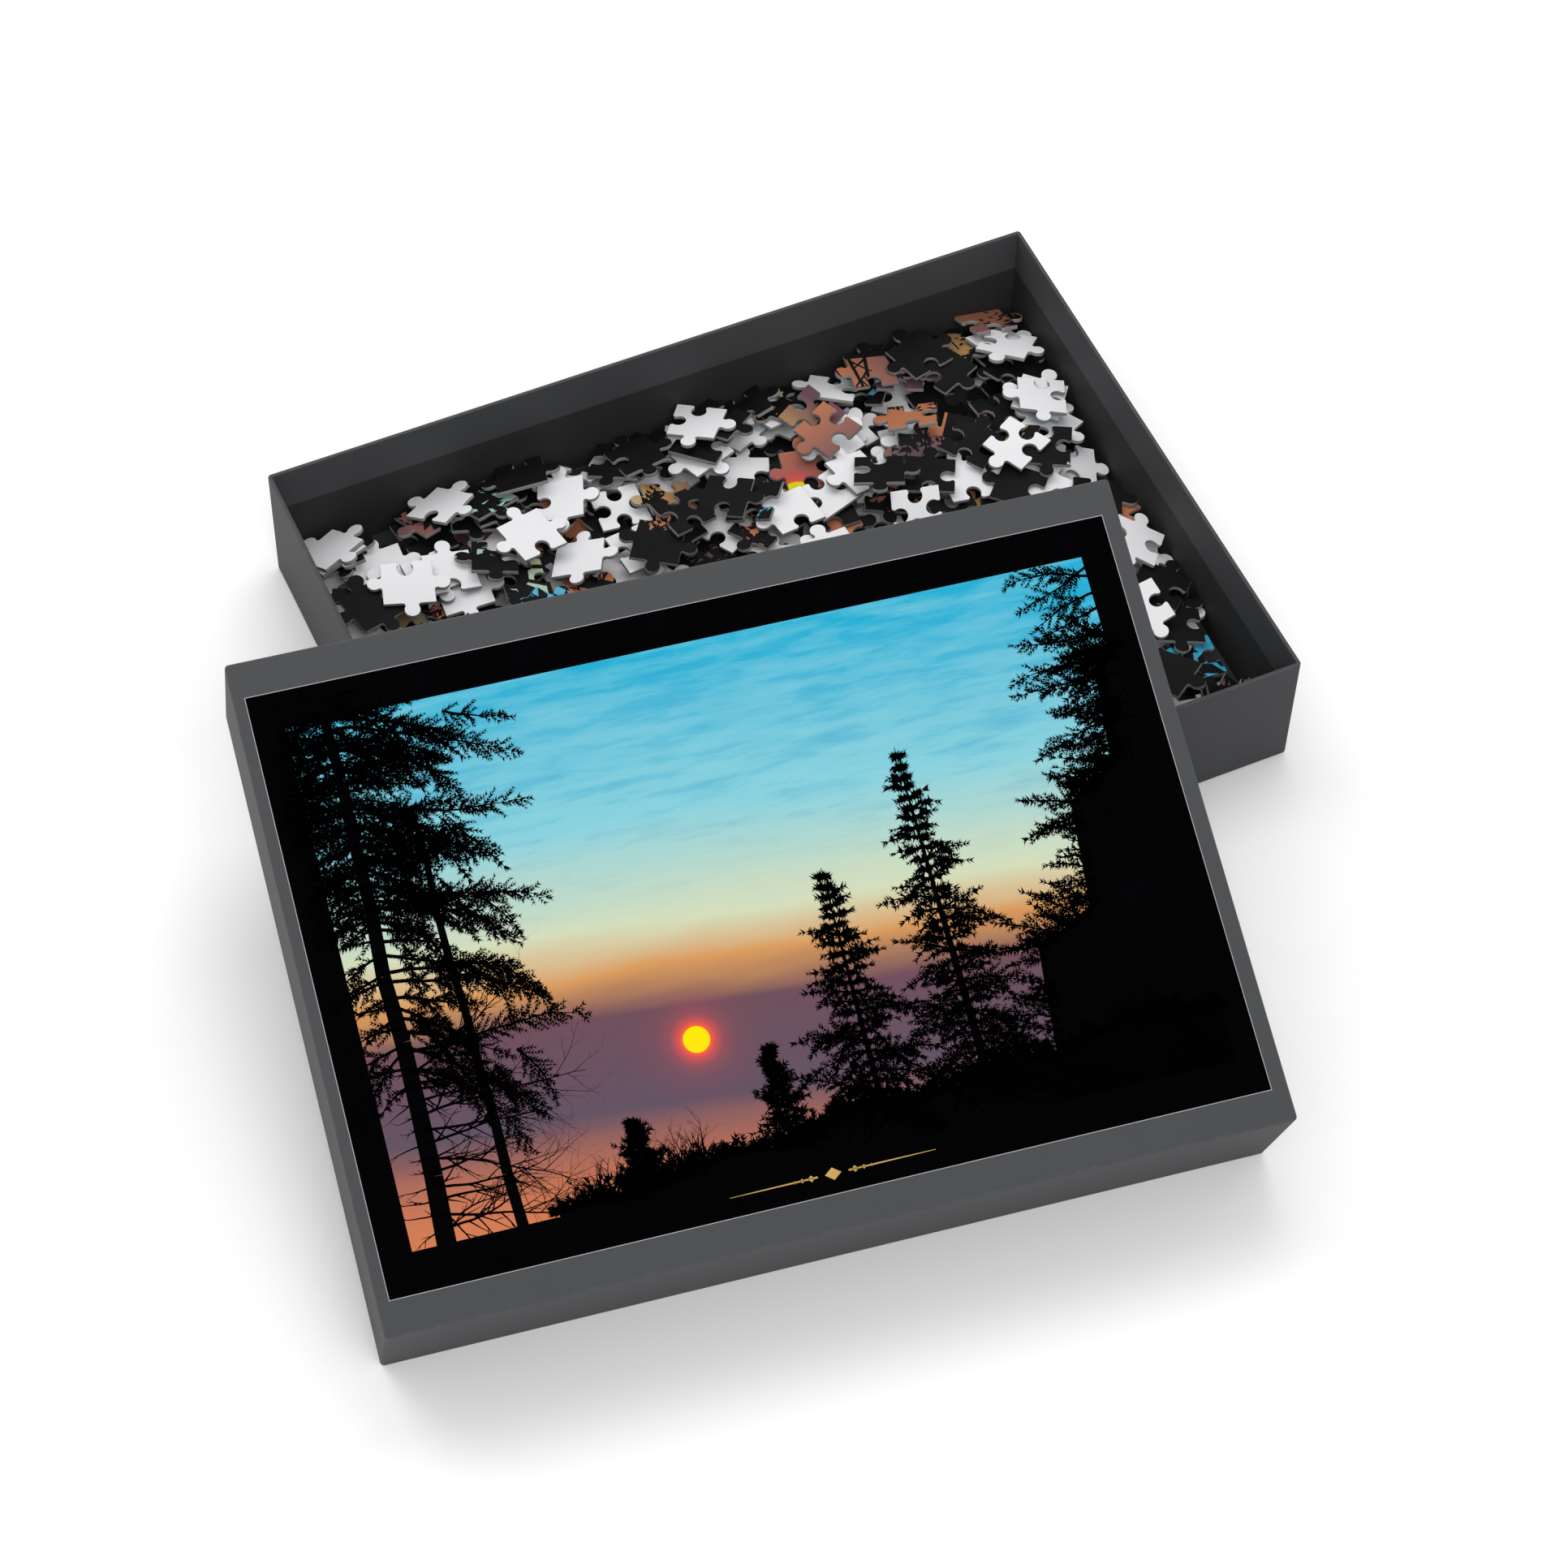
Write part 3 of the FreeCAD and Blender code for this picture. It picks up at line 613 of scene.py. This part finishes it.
class Ink:
    """Silhouettes as small overlapping shapes, in millimetres on the label.

    The fine shapes are the label's. The coarse ones, with a blob for each spray of needles, are
    for the small cut-outs of the picture on the pieces.
    """

    def __init__(self, seed):
        self.rng = random.Random(seed)
        self.fine = []
        self.coarse = []

    def stroke(self, start, end, width, end_width):
        """A tapered straight limb."""
        along = end - start
        if along.length < 1e-6:
            return
        across = Vector((-along.y, along.x)).normalized()
        corners = (
            start - across * width / 2,
            end - across * end_width / 2,
            end + across * end_width / 2,
            start + across * width / 2,
        )
        shape = [tuple(corner) for corner in corners]
        self.fine.append(shape)
        if width > COARSE_WIDTH:
            self.coarse.append(shape)

    def spray(self, at, heading, length):
        """A twig with needles along both its sides."""
        tip = at + heading_vector(heading) * length
        self.stroke(at, tip, 0.36, 0.14)
        steps = max(2, int(length / 1.15))
        for step in range(steps):
            share = step / steps
            place = at.lerp(tip, share)
            for side in (-1, 1):
                size = self.rng.uniform(1.2, 2.6) * (1.2 - 0.5 * share)
                lean = heading + side * self.rng.uniform(0.4, 0.95)
                half = heading_vector(lean + math.pi / 2) * size * self.rng.uniform(0.14, 0.22)
                point = place + heading_vector(lean) * size
                self.fine.append([tuple(place - half), tuple(point), tuple(place + half)])
        bulge = length * 0.45
        left = at + heading_vector(heading + 0.55) * bulge
        right = at + heading_vector(heading - 0.55) * bulge
        self.coarse.append([tuple(at), tuple(right), tuple(tip), tuple(left)])

    def limb(self, at, angle, length, droop, bare=0.0, fullness=1.0, width=0.9):
        """A limb that sags as it goes, with sprays on both sides of it past its bare share."""
        steps = max(3, int(length / 2.3))
        place = Vector(at)
        heading = angle
        sag = math.copysign(droop / steps, math.cos(angle))
        for step in range(steps):
            share = step / steps
            heading += self.rng.uniform(-0.13, 0.13) - sag
            onward = place + heading_vector(heading) * length / steps
            thick = width * (1 - share) + 0.2
            self.stroke(place, onward, thick, thick - width / steps)
            for side in (-1, 1):
                if share >= bare and self.rng.random() < fullness:
                    reach = length * 0.34 * (1.15 - share) * self.rng.uniform(0.6, 1.3)
                    reach = min(max(reach, 1.1), 8.5)
                    self.spray(place, heading + side * self.rng.uniform(0.35, 0.95), reach)
            place = onward
        self.spray(place, heading, 2.4)

    def twig(self, at, heading, length, width):
        """A bare twig that forks into shorter ones."""
        steps = max(3, int(length / 2.4))
        place = Vector(at)
        for step in range(steps):
            thick = width * (1 - 0.8 * step / steps)
            heading += self.rng.uniform(-0.12, 0.12)
            onward = place + heading_vector(heading) * length / steps
            self.stroke(place, onward, thick, thick - 0.8 * width / steps)
            if length > 4.5 and self.rng.random() < 0.5:
                fork = heading + self.rng.choice((-1, 1)) * self.rng.uniform(0.3, 0.85)
                self.twig(onward, fork, length * self.rng.uniform(0.2, 0.45), thick * 0.7)
            place = onward

    def conifer(self, base, top, half_width, levels, lift):
        """A spire with boughs that shorten towards its tip and hang lower towards its foot."""
        base = Vector(base)
        top = Vector(top)
        self.stroke(base, top, 0.03 * (top - base).length, 0.3)
        for level in range(levels):
            share = level / levels
            place = base.lerp(top, share)
            widest = half_width * (1 - share) ** 0.9 + 0.8
            for side in (-1, 1):
                layer = 0.72 + 0.34 * math.sin(level * 1.13 + side * 1.4)
                reach = widest * layer * self.rng.uniform(0.75, 1.2)
                rise = lift + 0.6 * share + self.rng.uniform(-0.25, 0.25)
                angle = rise if side > 0 else math.pi - rise
                self.limb(place, angle, reach, 0.5, 0.05, 0.95)
                self.limb(place, angle - side * self.rng.uniform(0.1, 0.5), reach * 0.45, 0.4)
                inner = place + heading_vector(angle) * reach * 0.4
                self.limb(inner, angle - side * self.rng.uniform(0.4, 0.8), reach * 0.35, 0.3)

    def mass(self, points):
        """A solid dark area; its points go anticlockwise, as delaunay_2d_cdt needs them."""
        shape = [tuple(point) for point in points]
        if signed_area(shape) < 0:
            shape.reverse()
        self.fine.append(shape)
        self.coarse.append(shape)


def old_pines(ink):
    """Old pines at the left: long ragged boughs above, bare twigs below."""
    rng = ink.rng
    foot = Vector((-147, -104))
    crown = Vector((-144, 104))
    trunks = (
        (foot, crown, 7.5),
        (Vector((-118, -104)), Vector((-121, 62)), 4.4),
    )
    for low, high, width in trunks:
        before = low
        for step in range(1, 9):
            place = low.lerp(high, step / 8) + Vector((rng.uniform(-1, 1), 0))
            shrink = 1 - 0.5 * step / 8
            ink.stroke(before, place, width * (shrink + 0.0625), width * shrink)
            before = place
    for level in range(31):
        share = 1 - level / 31 * 0.72 + rng.uniform(-0.008, 0.008)
        at = foot.lerp(crown, share)
        reach = 44 + 22 * math.sin(level * 0.95 + 0.4) + rng.uniform(-7, 9)
        angle = rng.uniform(-0.42, 0.12)
        ink.limb(at, angle, reach, 0.45, 0.1, 0.8, 1.4)
        for along in (0.3, 0.6):
            start = at + heading_vector(angle - 0.1) * reach * along
            ink.limb(start, angle - rng.uniform(0.35, 0.8), reach * 0.36, 0.3, 0.0, 0.85)
        ink.limb(at, math.pi + rng.uniform(-0.2, 0.5), reach * 0.5, 0.4, 0.1, 0.75, 1.1)
    for level in range(22):
        at = foot.lerp(crown, 1.03 - level * 0.02)
        ink.limb(at, rng.uniform(-0.3, 0.3), rng.uniform(18, 46), 0.4, 0.0, 1.0, 1.2)
        ink.limb(at, math.pi + rng.uniform(-0.3, 0.3), rng.uniform(20, 36), 0.4, 0.0, 1.0, 1.2)
    for level in range(15):
        at = (PICTURE_LEFT - 4, 104 - level * 4.6)
        ink.limb(at, rng.uniform(-0.5, 0.4), rng.uniform(9, 24), 0.4, 0.0, 1.0, 1.1)
    for number in range(12):
        at = foot.lerp(crown, 0.03 + 0.026 * number)
        ink.twig(at, rng.uniform(-0.35, 0.2), rng.uniform(24, 66), 1.2)
        ink.twig(at, math.pi + rng.uniform(-0.2, 0.5), rng.uniform(6, 18), 0.8)


def right_wood(ink):
    """The dark wood at the right, which steps down towards the middle."""
    rng = ink.rng
    wood = [(160, 66), (150, 58), (146, 20), (126, 8), (122, -34), (98, -46), (92, -105)]
    ink.mass(wood + [(160, -105)])
    for (ax, ay), (bx, by) in zip(wood, wood[1:]):
        for step in range(13):
            at = Vector((ax, ay)).lerp(Vector((bx, by)), (step + rng.random()) / 13)
            angle = math.pi + rng.uniform(-0.9, 0.4)
            ink.limb(at + Vector((4, 0)), angle, rng.uniform(8, 27), 0.3, 0.0, 0.9)
    for level in range(13):
        at = (161, 100 - level * 5.8)
        angle = math.pi + rng.uniform(-0.25, 0.45)
        ink.limb(at, angle, rng.uniform(16, 46), 0.35, 0.15, 0.8, 1.1)


def near_ground(ink):
    """The dark slope along the bottom, with its bushes and young trees."""
    rng = ink.rng
    slope = []
    for step in range(49):
        x = -104 + step * 5.5
        rise = 13 * min(max((x + 100) / 120, 0), 1) + 9 * min(max((x - 40) / 90, 0), 1)
        slope.append((x, rise - 103 + 1.6 * math.sin(x * 0.11) + rng.uniform(-1, 1)))
    ink.mass([(-104, -105)] + slope + [(160, -105)])
    for x, y in slope:
        for _ in range(7):
            at = (x + rng.uniform(-3, 3), y - 1)
            size = rng.uniform(2, 7 if x > -75 else 4)
            ink.limb(at, math.pi / 2 + rng.uniform(-0.7, 0.7), size, 0.2)
    young = (
        ((-70, -102), (-69, -74), 13, 15),
        ((-12, -98), (-13, -58), 15, 18),
    )
    for base, top, half_width, levels in young:
        ink.conifer(base, top, half_width, levels, 0.45)
    for _ in range(90):
        x = rng.uniform(-96, -46)
        tall = 9 + 0.16 * (x + 96) + 3 * math.sin(x * 0.35)
        ink.twig((x, -101), math.pi / 2 + rng.uniform(-0.5, 0.5), tall * rng.uniform(0.7, 1.2), 0.8)
    for _ in range(34):
        x = rng.uniform(-94, -46)
        ink.limb((x, -100), math.pi / 2 + rng.uniform(-0.5, 0.5), rng.uniform(4, 10), 0.2, 0.3)


def dawn_picture():
    ink = Ink(PICTURE_SEED)
    old_pines(ink)
    ink.conifer((24, -96), (25, 4), 33, 26, 0.0)
    ink.conifer((66, -96), (65, 44), 36, 34, 0.0)
    right_wood(ink)
    near_ground(ink)
    return ink


def kept_in_label(shape):
    """The shape with its points kept on the mat."""
    kept = []
    for x, y in shape:
        kept.append((min(max(x, KEPT_LEFT), KEPT_RIGHT), min(max(y, KEPT_LOW), KEPT_HIGH)))
    return kept


def lozenge(x, size, height):
    """A lozenge round a place on the ornament's line."""
    return [(x - size, 0), (x, -height), (x + size, 0), (x, height)]


def ornament_shapes():
    """A plain gold rule with a lozenge, where a box has its title."""
    shapes = [lozenge(0, 3.2, 2.4)]
    for side in (-1, 1):
        half = [[(6, -0.35), (40, -0.1), (40, 0.1), (6, 0.35)]]
        for at, size in ((8.5, 1.3), (12.0, 0.9), (15.0, 0.6)):
            half.append(lozenge(at, size, size))
        shapes += [[(side * x, y) for x, y in shape] for shape in half]
    middle_x, middle_y = ORNAMENT_AT
    return [[(x + middle_x, y + middle_y) for x, y in shape] for shape in shapes]


def make_label(lean, shapes):
    builder = Builder("lid_picture", [LABEL_SHEET, LABEL_INK, LABEL_SKY, LABEL_GOLD])
    low = BOX_HEIGHT
    high = BOX_HEIGHT + LABEL_PAPER
    print_high = high - INK_LIFT
    left = LABEL_SHIFT[0] - LABEL_LENGTH / 2
    right = LABEL_SHIFT[0] + LABEL_LENGTH / 2
    front = LABEL_SHIFT[1] - LABEL_WIDTH / 2
    back = LABEL_SHIFT[1] + LABEL_WIDTH / 2

    def frame_ring(x_low, x_high, y_low, y_high, height):
        corners = [(x_low, y_low), (x_high, y_low), (x_high, y_high), (x_low, y_high)]
        return builder.add([(x, y, height) for x, y in corners], 0.0, corners)

    sheet = frame_ring(left, right, front, back, low)
    edge = frame_ring(left, right, front, back, print_high)
    gap = LABEL_EDGE
    mat = frame_ring(left + gap, right - gap, front + gap, back - gap, print_high)
    window = frame_ring(PICTURE_LEFT, PICTURE_RIGHT, PICTURE_LOW, PICTURE_HIGH, print_high)
    builder.face((sheet + 3, sheet + 2, sheet + 1, sheet))
    for inner, outer, slot in ((edge, sheet, 0), (mat, edge, 0), (window, mat, 1)):
        for i in range(4):
            j = (i + 1) % 4
            builder.face((outer + i, outer + j, inner + j, inner + i), slot)
    builder.face(range(window, window + 4), 2)
    layers = ((shapes, 1, high - INK_LIFT / 2), (ornament_shapes(), 3, high))
    for group, slot, height in layers:
        for shape in group:
            shape = kept_in_label(shape)
            first = builder.add([(x, y, height) for x, y in shape], 0.0, shape)
            corners = list(range(first, first + len(shape)))
            if signed_area(shape) < 0:
                corners.reverse()
            builder.face(corners, slot)
    made = builder.finish(lean, sharp=20.0)
    stands_for(made, "lid", "printed_label", "lid_picture_label")


# ======================================== the puzzle's pieces
def separate_solids(mesh):
    """The faces of each solid in a node, as lists of corner points in millimetres."""
    keys = {}
    welded = []
    for vertex in mesh.vertices:
        key = tuple(vertex.co)
        welded.append(keys.setdefault(key, len(keys)))
    parent = list(range(len(keys)))

    def root(number):
        while parent[number] != number:
            parent[number] = parent[parent[number]]
            number = parent[number]
        return number

    faces = []
    for polygon in mesh.polygons:
        corners = [welded[index] for index in polygon.vertices]
        faces.append((corners, polygon.normal.copy(), polygon.area))
        for other in corners[1:]:
            parent[root(corners[0])] = root(other)
    places = [None] * len(keys)
    for key, number in keys.items():
        places[number] = Vector(key) / MM
    groups = {}
    for face in faces:
        groups.setdefault(root(face[0][0]), []).append(face)
    return places, list(groups.values())


def upper_outline(places, faces):
    """The upward side of one flat piece: its normal, and the loop of points round it."""
    sums = {}
    for _, normal, area in faces:
        up = normal if normal.z >= 0 else -normal
        key = (round(up.x, 2), round(up.y, 2), round(up.z, 2))
        total, direction = sums.get(key, (0.0, up))
        sums[key] = (total + area, direction)
    up = max(sums.values(), key=lambda item: item[0])[1]
    following = {}
    sides = set()
    for corners, normal, _ in faces:
        if normal.dot(up) < 0.999:
            continue
        for start, end in zip(corners, corners[1:] + corners[:1]):
            sides.add((start, end))
    for start, end in sides:
        if (end, start) not in sides:
            following[start] = end
    first = next(iter(following))
    loop = [first]
    while following[loop[-1]] != first:
        loop.append(following[loop[-1]])
    return up, [places[number] for number in loop]


def thinned(points, tolerance):
    """The points that the outline needs to stay within the tolerance."""
    far = max(range(len(points)), key=lambda i: (points[i] - points[0]).length)
    halves = (points[: far + 1], points[far:] + points[:1])
    return keep_needed(halves[0], tolerance)[:-1] + keep_needed(halves[1], tolerance)[:-1]


def keep_needed(points, tolerance):
    start, end = points[0], points[-1]
    along = end - start
    length = along.length
    worst = 0.0
    where = 0
    for i in range(1, len(points) - 1):
        offset = points[i] - start
        gap = abs(along.x * offset.y - along.y * offset.x) / length if length else offset.length
        if gap > worst:
            worst, where = gap, i
    if worst <= tolerance:
        return [start, end]
    return keep_needed(points[: where + 1], tolerance)[:-1] + keep_needed(points[where:], tolerance)


def shrunk(outline, inset):
    """The anticlockwise outline moved inwards."""
    moved = []
    count = len(outline)
    for i in range(count):
        before = (outline[i] - outline[i - 1]).normalized()
        after = (outline[(i + 1) % count] - outline[i]).normalized()
        normal = Vector((-before.y - after.y, before.x + after.x))
        spread = max(0.35, (1 + before.dot(after)))
        moved.append(outline[i] + normal * inset / spread)
    return moved


class Piece:
    """One piece as it lies: its own plane, with z = 0 on the pale back."""

    def __init__(self, up, loop):
        edges = [loop[(i + 1) % len(loop)] - loop[i] for i in range(len(loop))]
        longest = max(edges, key=lambda edge: edge.length)
        self.up = up
        self.across = (longest - up * longest.dot(up)).normalized()
        self.loop = loop
        self.middle = sum(loop, Vector()) / len(loop)
        self.straight = longest.length

    def turned(self, back_up, rng, border):
        """The piece's own axes and its outline in them, for the side that is up."""
        quarter = 0 if border else rng.randrange(4)
        x_axis = Matrix.Rotation(quarter * math.pi / 2, 3, self.up) @ self.across
        normal = -self.up if back_up else self.up
        y_axis = normal.cross(x_axis)
        base = self.middle if back_up else self.middle - self.up * PIECE_THICKNESS
        outline = []
        for point in self.loop:
            offset = point - self.middle
            outline.append(Vector((offset.dot(x_axis), offset.dot(y_axis))))
        if signed_area([tuple(point) for point in outline]) < 0:
            outline.reverse()
        rows = Matrix((x_axis, y_axis, normal)).transposed().to_4x4()
        rows.translation = base
        return rows, thinned(outline, OUTLINE_TOLERANCE)


def extent(shape):
    """The shape's box: left, right, low and high."""
    xs = [point[0] for point in shape]
    ys = [point[1] for point in shape]
    return min(xs), max(xs), min(ys), max(ys)


class ShapeGrid:
    """The picture's shapes by the squares of the label that they reach."""

    SQUARE = 8.0

    def __init__(self, shapes):
        self.squares = {}
        for shape in shapes:
            for square in self.touched(shape):
                self.squares.setdefault(square, []).append(shape)

    def touched(self, shape):
        left, right, low, high = extent(shape)
        for i in range(self.number(left), self.number(right) + 1):
            for j in range(self.number(low), self.number(high) + 1):
                yield i, j

    def number(self, value):
        return math.floor(value / self.SQUARE)

    def near(self, shape):
        """The picture's shapes whose boxes overlap the given one's."""
        left, right, low, high = extent(shape)
        found = {}
        for square in self.touched(shape):
            for other in self.squares.get(square, ()):
                box = extent(other)
                if box[0] < right and box[1] > left and box[2] < high and box[3] > low:
                    found[id(other)] = other
        return list(found.values())


def printed_cap(outline, spot, grid):
    """The printed face as triangles: their points, corners, and which are ink.

    The spot is where the piece's middle comes in the picture.
    """
    border = on_label(outline, spot)
    window = [
        (PICTURE_LEFT, PICTURE_LOW),
        (PICTURE_RIGHT, PICTURE_LOW),
        (PICTURE_RIGHT, PICTURE_HIGH),
        (PICTURE_LEFT, PICTURE_HIGH),
    ]
    points = [Vector(point) for point in border]
    faces = [list(range(len(points)))]
    for shape in [window] + grid.near(border):
        first = len(points)
        points += [Vector(point) for point in shape]
        faces.append(list(range(first, len(points))))
    places, _, triangles, _, _, origins = delaunay_2d_cdt(points, [], faces, 1, 1e-5)
    used = {}
    corners = []
    inked = []
    for triangle, origin in zip(triangles, origins):
        if 0 not in origin:
            continue
        corners.append([used.setdefault(index, len(used)) for index in triangle])
        inked.append(1 not in origin or max(origin) > 1)
    return [places[index] for index in used], corners, inked


def holds(shape, x, y):
    """True where the point lies in the shape."""
    inside = False
    before_x, before_y = shape[-1]
    for at_x, at_y in shape:
        if (before_y > y) != (at_y > y):
            if x < at_x + (y - at_y) / (before_y - at_y) * (before_x - at_x):
                inside = not inside
        before_x, before_y = at_x, at_y
    return inside


def plain_cap(outline, spot, ink):
    """A printed face all of one kind, in the form that printed_cap gives."""
    places = [Vector(point) for point in on_label(outline, spot)]
    return places, [range(len(places))], [ink]


def on_label(outline, spot):
    """Where the points of a piece, whose middle comes at the spot, are in the picture."""
    return [(p.x / PRINT_SCALE + spot[0], p.y / PRINT_SCALE + spot[1]) for p in outline]


def is_ink(x, y, shapes):
    """True where the label is dark: on the mat, or on one of the shapes."""
    in_picture = PICTURE_LEFT < x < PICTURE_RIGHT and PICTURE_LOW < y < PICTURE_HIGH
    return not in_picture or any(holds(shape, x, y) for shape in shapes)


def share_inked(spot, grid):
    """How much of a piece's square of the picture is ink, felt at a few points."""
    reach_x = PUZZLE_LENGTH / COLUMNS / PRINT_SCALE / 2
    reach_y = PUZZLE_WIDTH / ROWS / PRINT_SCALE / 2
    square = [(spot[0] + i * reach_x, spot[1] + j * reach_y) for i in (-1, 1) for j in (-1, 1)]
    shapes = grid.near(square)
    steps = [(i + 0.5) / (FELT_POINTS / 2) - 1 for i in range(FELT_POINTS)]
    dark = 0
    for i in steps:
        for j in steps:
            dark += is_ink(spot[0] + i * reach_x, spot[1] + j * reach_y, shapes)
    return dark / len(steps) ** 2


def kind_of(share, height):
    """Whether a piece's print is mostly ink, or from the high or the low part of the sky."""
    if share > DARK_SHARE:
        return "dark"
    return "sky" if height > WARM_BELOW else "warm"


def add_piece(builder, piece, spot, grid, rng, loose):
    """Rebuilds one piece, with rolled edges round its print and a small burr round its back.

    A print that lies face down in the heap stays hidden, so it is a plain one.
    """
    border = piece.straight > BORDER_SIDE
    inked_share = share_inked(spot, grid)
    kind = kind_of(inked_share, spot[1] + SKY_LEAN * spot[0])
    back_up = rng.random() < BACK_UP_CHANCE[kind]
    placement, outline = piece.turned(back_up, rng, border)
    cap_outline = shrunk(outline, ROLL)
    count = len(outline)
    where = on_label(outline, spot)
    if inked_share == 1.0 or (back_up and not loose):
        places, corners, inked = plain_cap(cap_outline, spot, kind == "dark")
        rim_inked = [kind == "dark"] * count
    else:
        places, corners, inked = printed_cap(cap_outline, spot, grid)
        shapes = grid.near(where)
        rim_inked = [is_ink(x, y, shapes) for x, y in where]
    rings = []
    for inset, height in RIMS:
        ring = [placement @ Vector((p.x, p.y, height)) for p in shrunk(outline, inset)]
        rings.append(builder.add(ring, 0.0, where))
    for number, (low, high) in enumerate(zip(rings, rings[1:])):
        for i in range(count):
            j = (i + 1) % count
            printed = INK_SLOT if rim_inked[i] else SKY_SLOT
            slot = (BACK_SLOT, SIDE_SLOT, SIDE_SLOT, printed, printed)[number]
            builder.face((low + i, low + j, high + j, high + i), slot)
    builder.face(reversed(range(rings[0], rings[0] + count)), BACK_SLOT)
    cap = []
    for place in places:
        x = (place.x - spot[0]) * PRINT_SCALE
        y = (place.y - spot[1]) * PRINT_SCALE
        cap.append(placement @ Vector((x, y, PIECE_THICKNESS)))
    first = builder.add(cap, 0.0, [tuple(place) for place in places])
    for triangle, ink in zip(corners, inked):
        builder.face([first + i for i in triangle], INK_SLOT if ink else SKY_SLOT)


def grid_spot(row, column):
    """Where the middle of a piece comes on the label's picture."""
    x = ((column + 0.5) * PUZZLE_LENGTH / COLUMNS - PUZZLE_LENGTH / 2) / PRINT_SCALE
    y = ((row + 0.5) * PUZZLE_WIDTH / ROWS - PUZZLE_WIDTH / 2) / PRINT_SCALE
    return x + LABEL_SHIFT[0], y + LABEL_SHIFT[1]


def make_pieces(shapes):
    rng = random.Random(FACES_SEED)
    grid = ShapeGrid(shapes)
    materials = [CARD_BACK, CARD_EDGE, CARD_INK, CARD_SKY]
    groups = [("pieces_row_%02d" % (row + 1), "tray", row) for row in range(ROWS)]
    for name, body in loose_nodes():
        groups.append((name, body, rng.randrange(ROWS)))
    for name, body, row in groups:
        places, solids = separate_solids(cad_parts[name].data)
        builder = Builder(name + "_card", materials)
        for number, faces in enumerate(solids):
            column = number if body == "tray" else rng.randrange(COLUMNS)
            piece = Piece(*upper_outline(places, faces))
            add_piece(builder, piece, grid_spot(row, column), grid, rng, body != "tray")
        made = builder.finish(sharp=50.0)
        stands_for(made, body, "puzzle_card", name)


def loose_nodes():
    found = []
    for name in sorted(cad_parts):
        if name.startswith("loose_piece_"):
            found.append((name, name.replace("piece_", "")))
    return found


# ======================================== the carried-over parts
def paint_carried_over():
    looks = {
        "tray_base_sheet": WRAP,
        "tray_liner": LINER,
        "lid_liner": LINER,
    }
    for name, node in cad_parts.items():
        look = STAY if "stay" in name else looks.get(name)
        if look:
            node.data.materials.clear()
            node.data.materials.append(look)


# ======================================== studio
def make_studio():
    mesh = bpy.data.meshes.new("floor")
    reach = 6.0
    low = -0.0001
    corners = [(-reach, -reach, low), (reach, -reach, low), (reach, reach, low), (-reach, reach, low)]
    mesh.from_pydata(corners, [], [(0, 1, 2, 3)])
    floor = bpy.data.objects.new("floor", mesh)
    bpy.context.scene.collection.objects.link(floor)
    material, _, _, shader = new_material("floor")
    shader.inputs["Base Color"].default_value = (0.81, 0.81, 0.81, 1.0)
    shader.inputs["Roughness"].default_value = 0.9
    shader.inputs["Specular IOR Level"].default_value = 0.1
    mesh.materials.append(material)
    floor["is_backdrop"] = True

    world = bpy.data.worlds.new("studio")
    world.use_nodes = True
    world.node_tree.nodes["Background"].inputs["Color"].default_value = (1.0, 1.0, 1.0, 1.0)
    world.node_tree.nodes["Background"].inputs["Strength"].default_value = 0.78
    bpy.context.scene.world = world

    target = Vector((-0.05, -0.06, 0.03))
    # name, place in metres, size in metres, watts
    lights = (
        ("key", (-0.8, 1.2, 1.9), 1.4, 15.0),
        ("overhead", (0.2, 0.25, 1.3), 0.8, 5.0),
        ("front", (-0.3, -1.8, 2.1), 1.4, 28.0),
    )
    for name, at, size, watts in lights:
        light = bpy.data.lights.new(name, "AREA")
        light.shape = "DISK"
        light.size = size
        light.energy = watts
        lamp = bpy.data.objects.new(name, light)
        lamp.location = at
        lamp.rotation_euler = (target - Vector(at)).to_track_quat("-Z", "Y").to_euler()
        bpy.context.scene.collection.objects.link(lamp)


def make_camera():
    forward = Vector(CAMERA_FORWARD).normalized()
    right = Vector(CAMERA_RIGHT)
    right = (right - forward * right.dot(forward)).normalized()
    up = right.cross(forward)
    camera = bpy.data.cameras.new("camera")
    camera.lens = CAMERA_LENS
    camera.sensor_width = CAMERA_SENSOR
    holder = bpy.data.objects.new("camera", camera)
    turn = Matrix((right, up, -forward)).transposed().to_4x4()
    turn.translation = CAMERA_PLACE
    holder.matrix_world = turn
    bpy.context.scene.collection.objects.link(holder)
    bpy.context.scene.camera = holder
    settings = bpy.context.scene.view_settings
    settings.view_transform = "Standard"
    settings.look = "None"


# ======================================== everything
lean = lid_lean()
picture = dawn_picture()
make_tray()
make_lid(lean)
make_label(lean, picture.fine)
make_pieces(picture.coarse)
paint_carried_over()
make_studio()
make_camera()

boxes = [[list(corner) for corner in box] for box in (cad_box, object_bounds())]
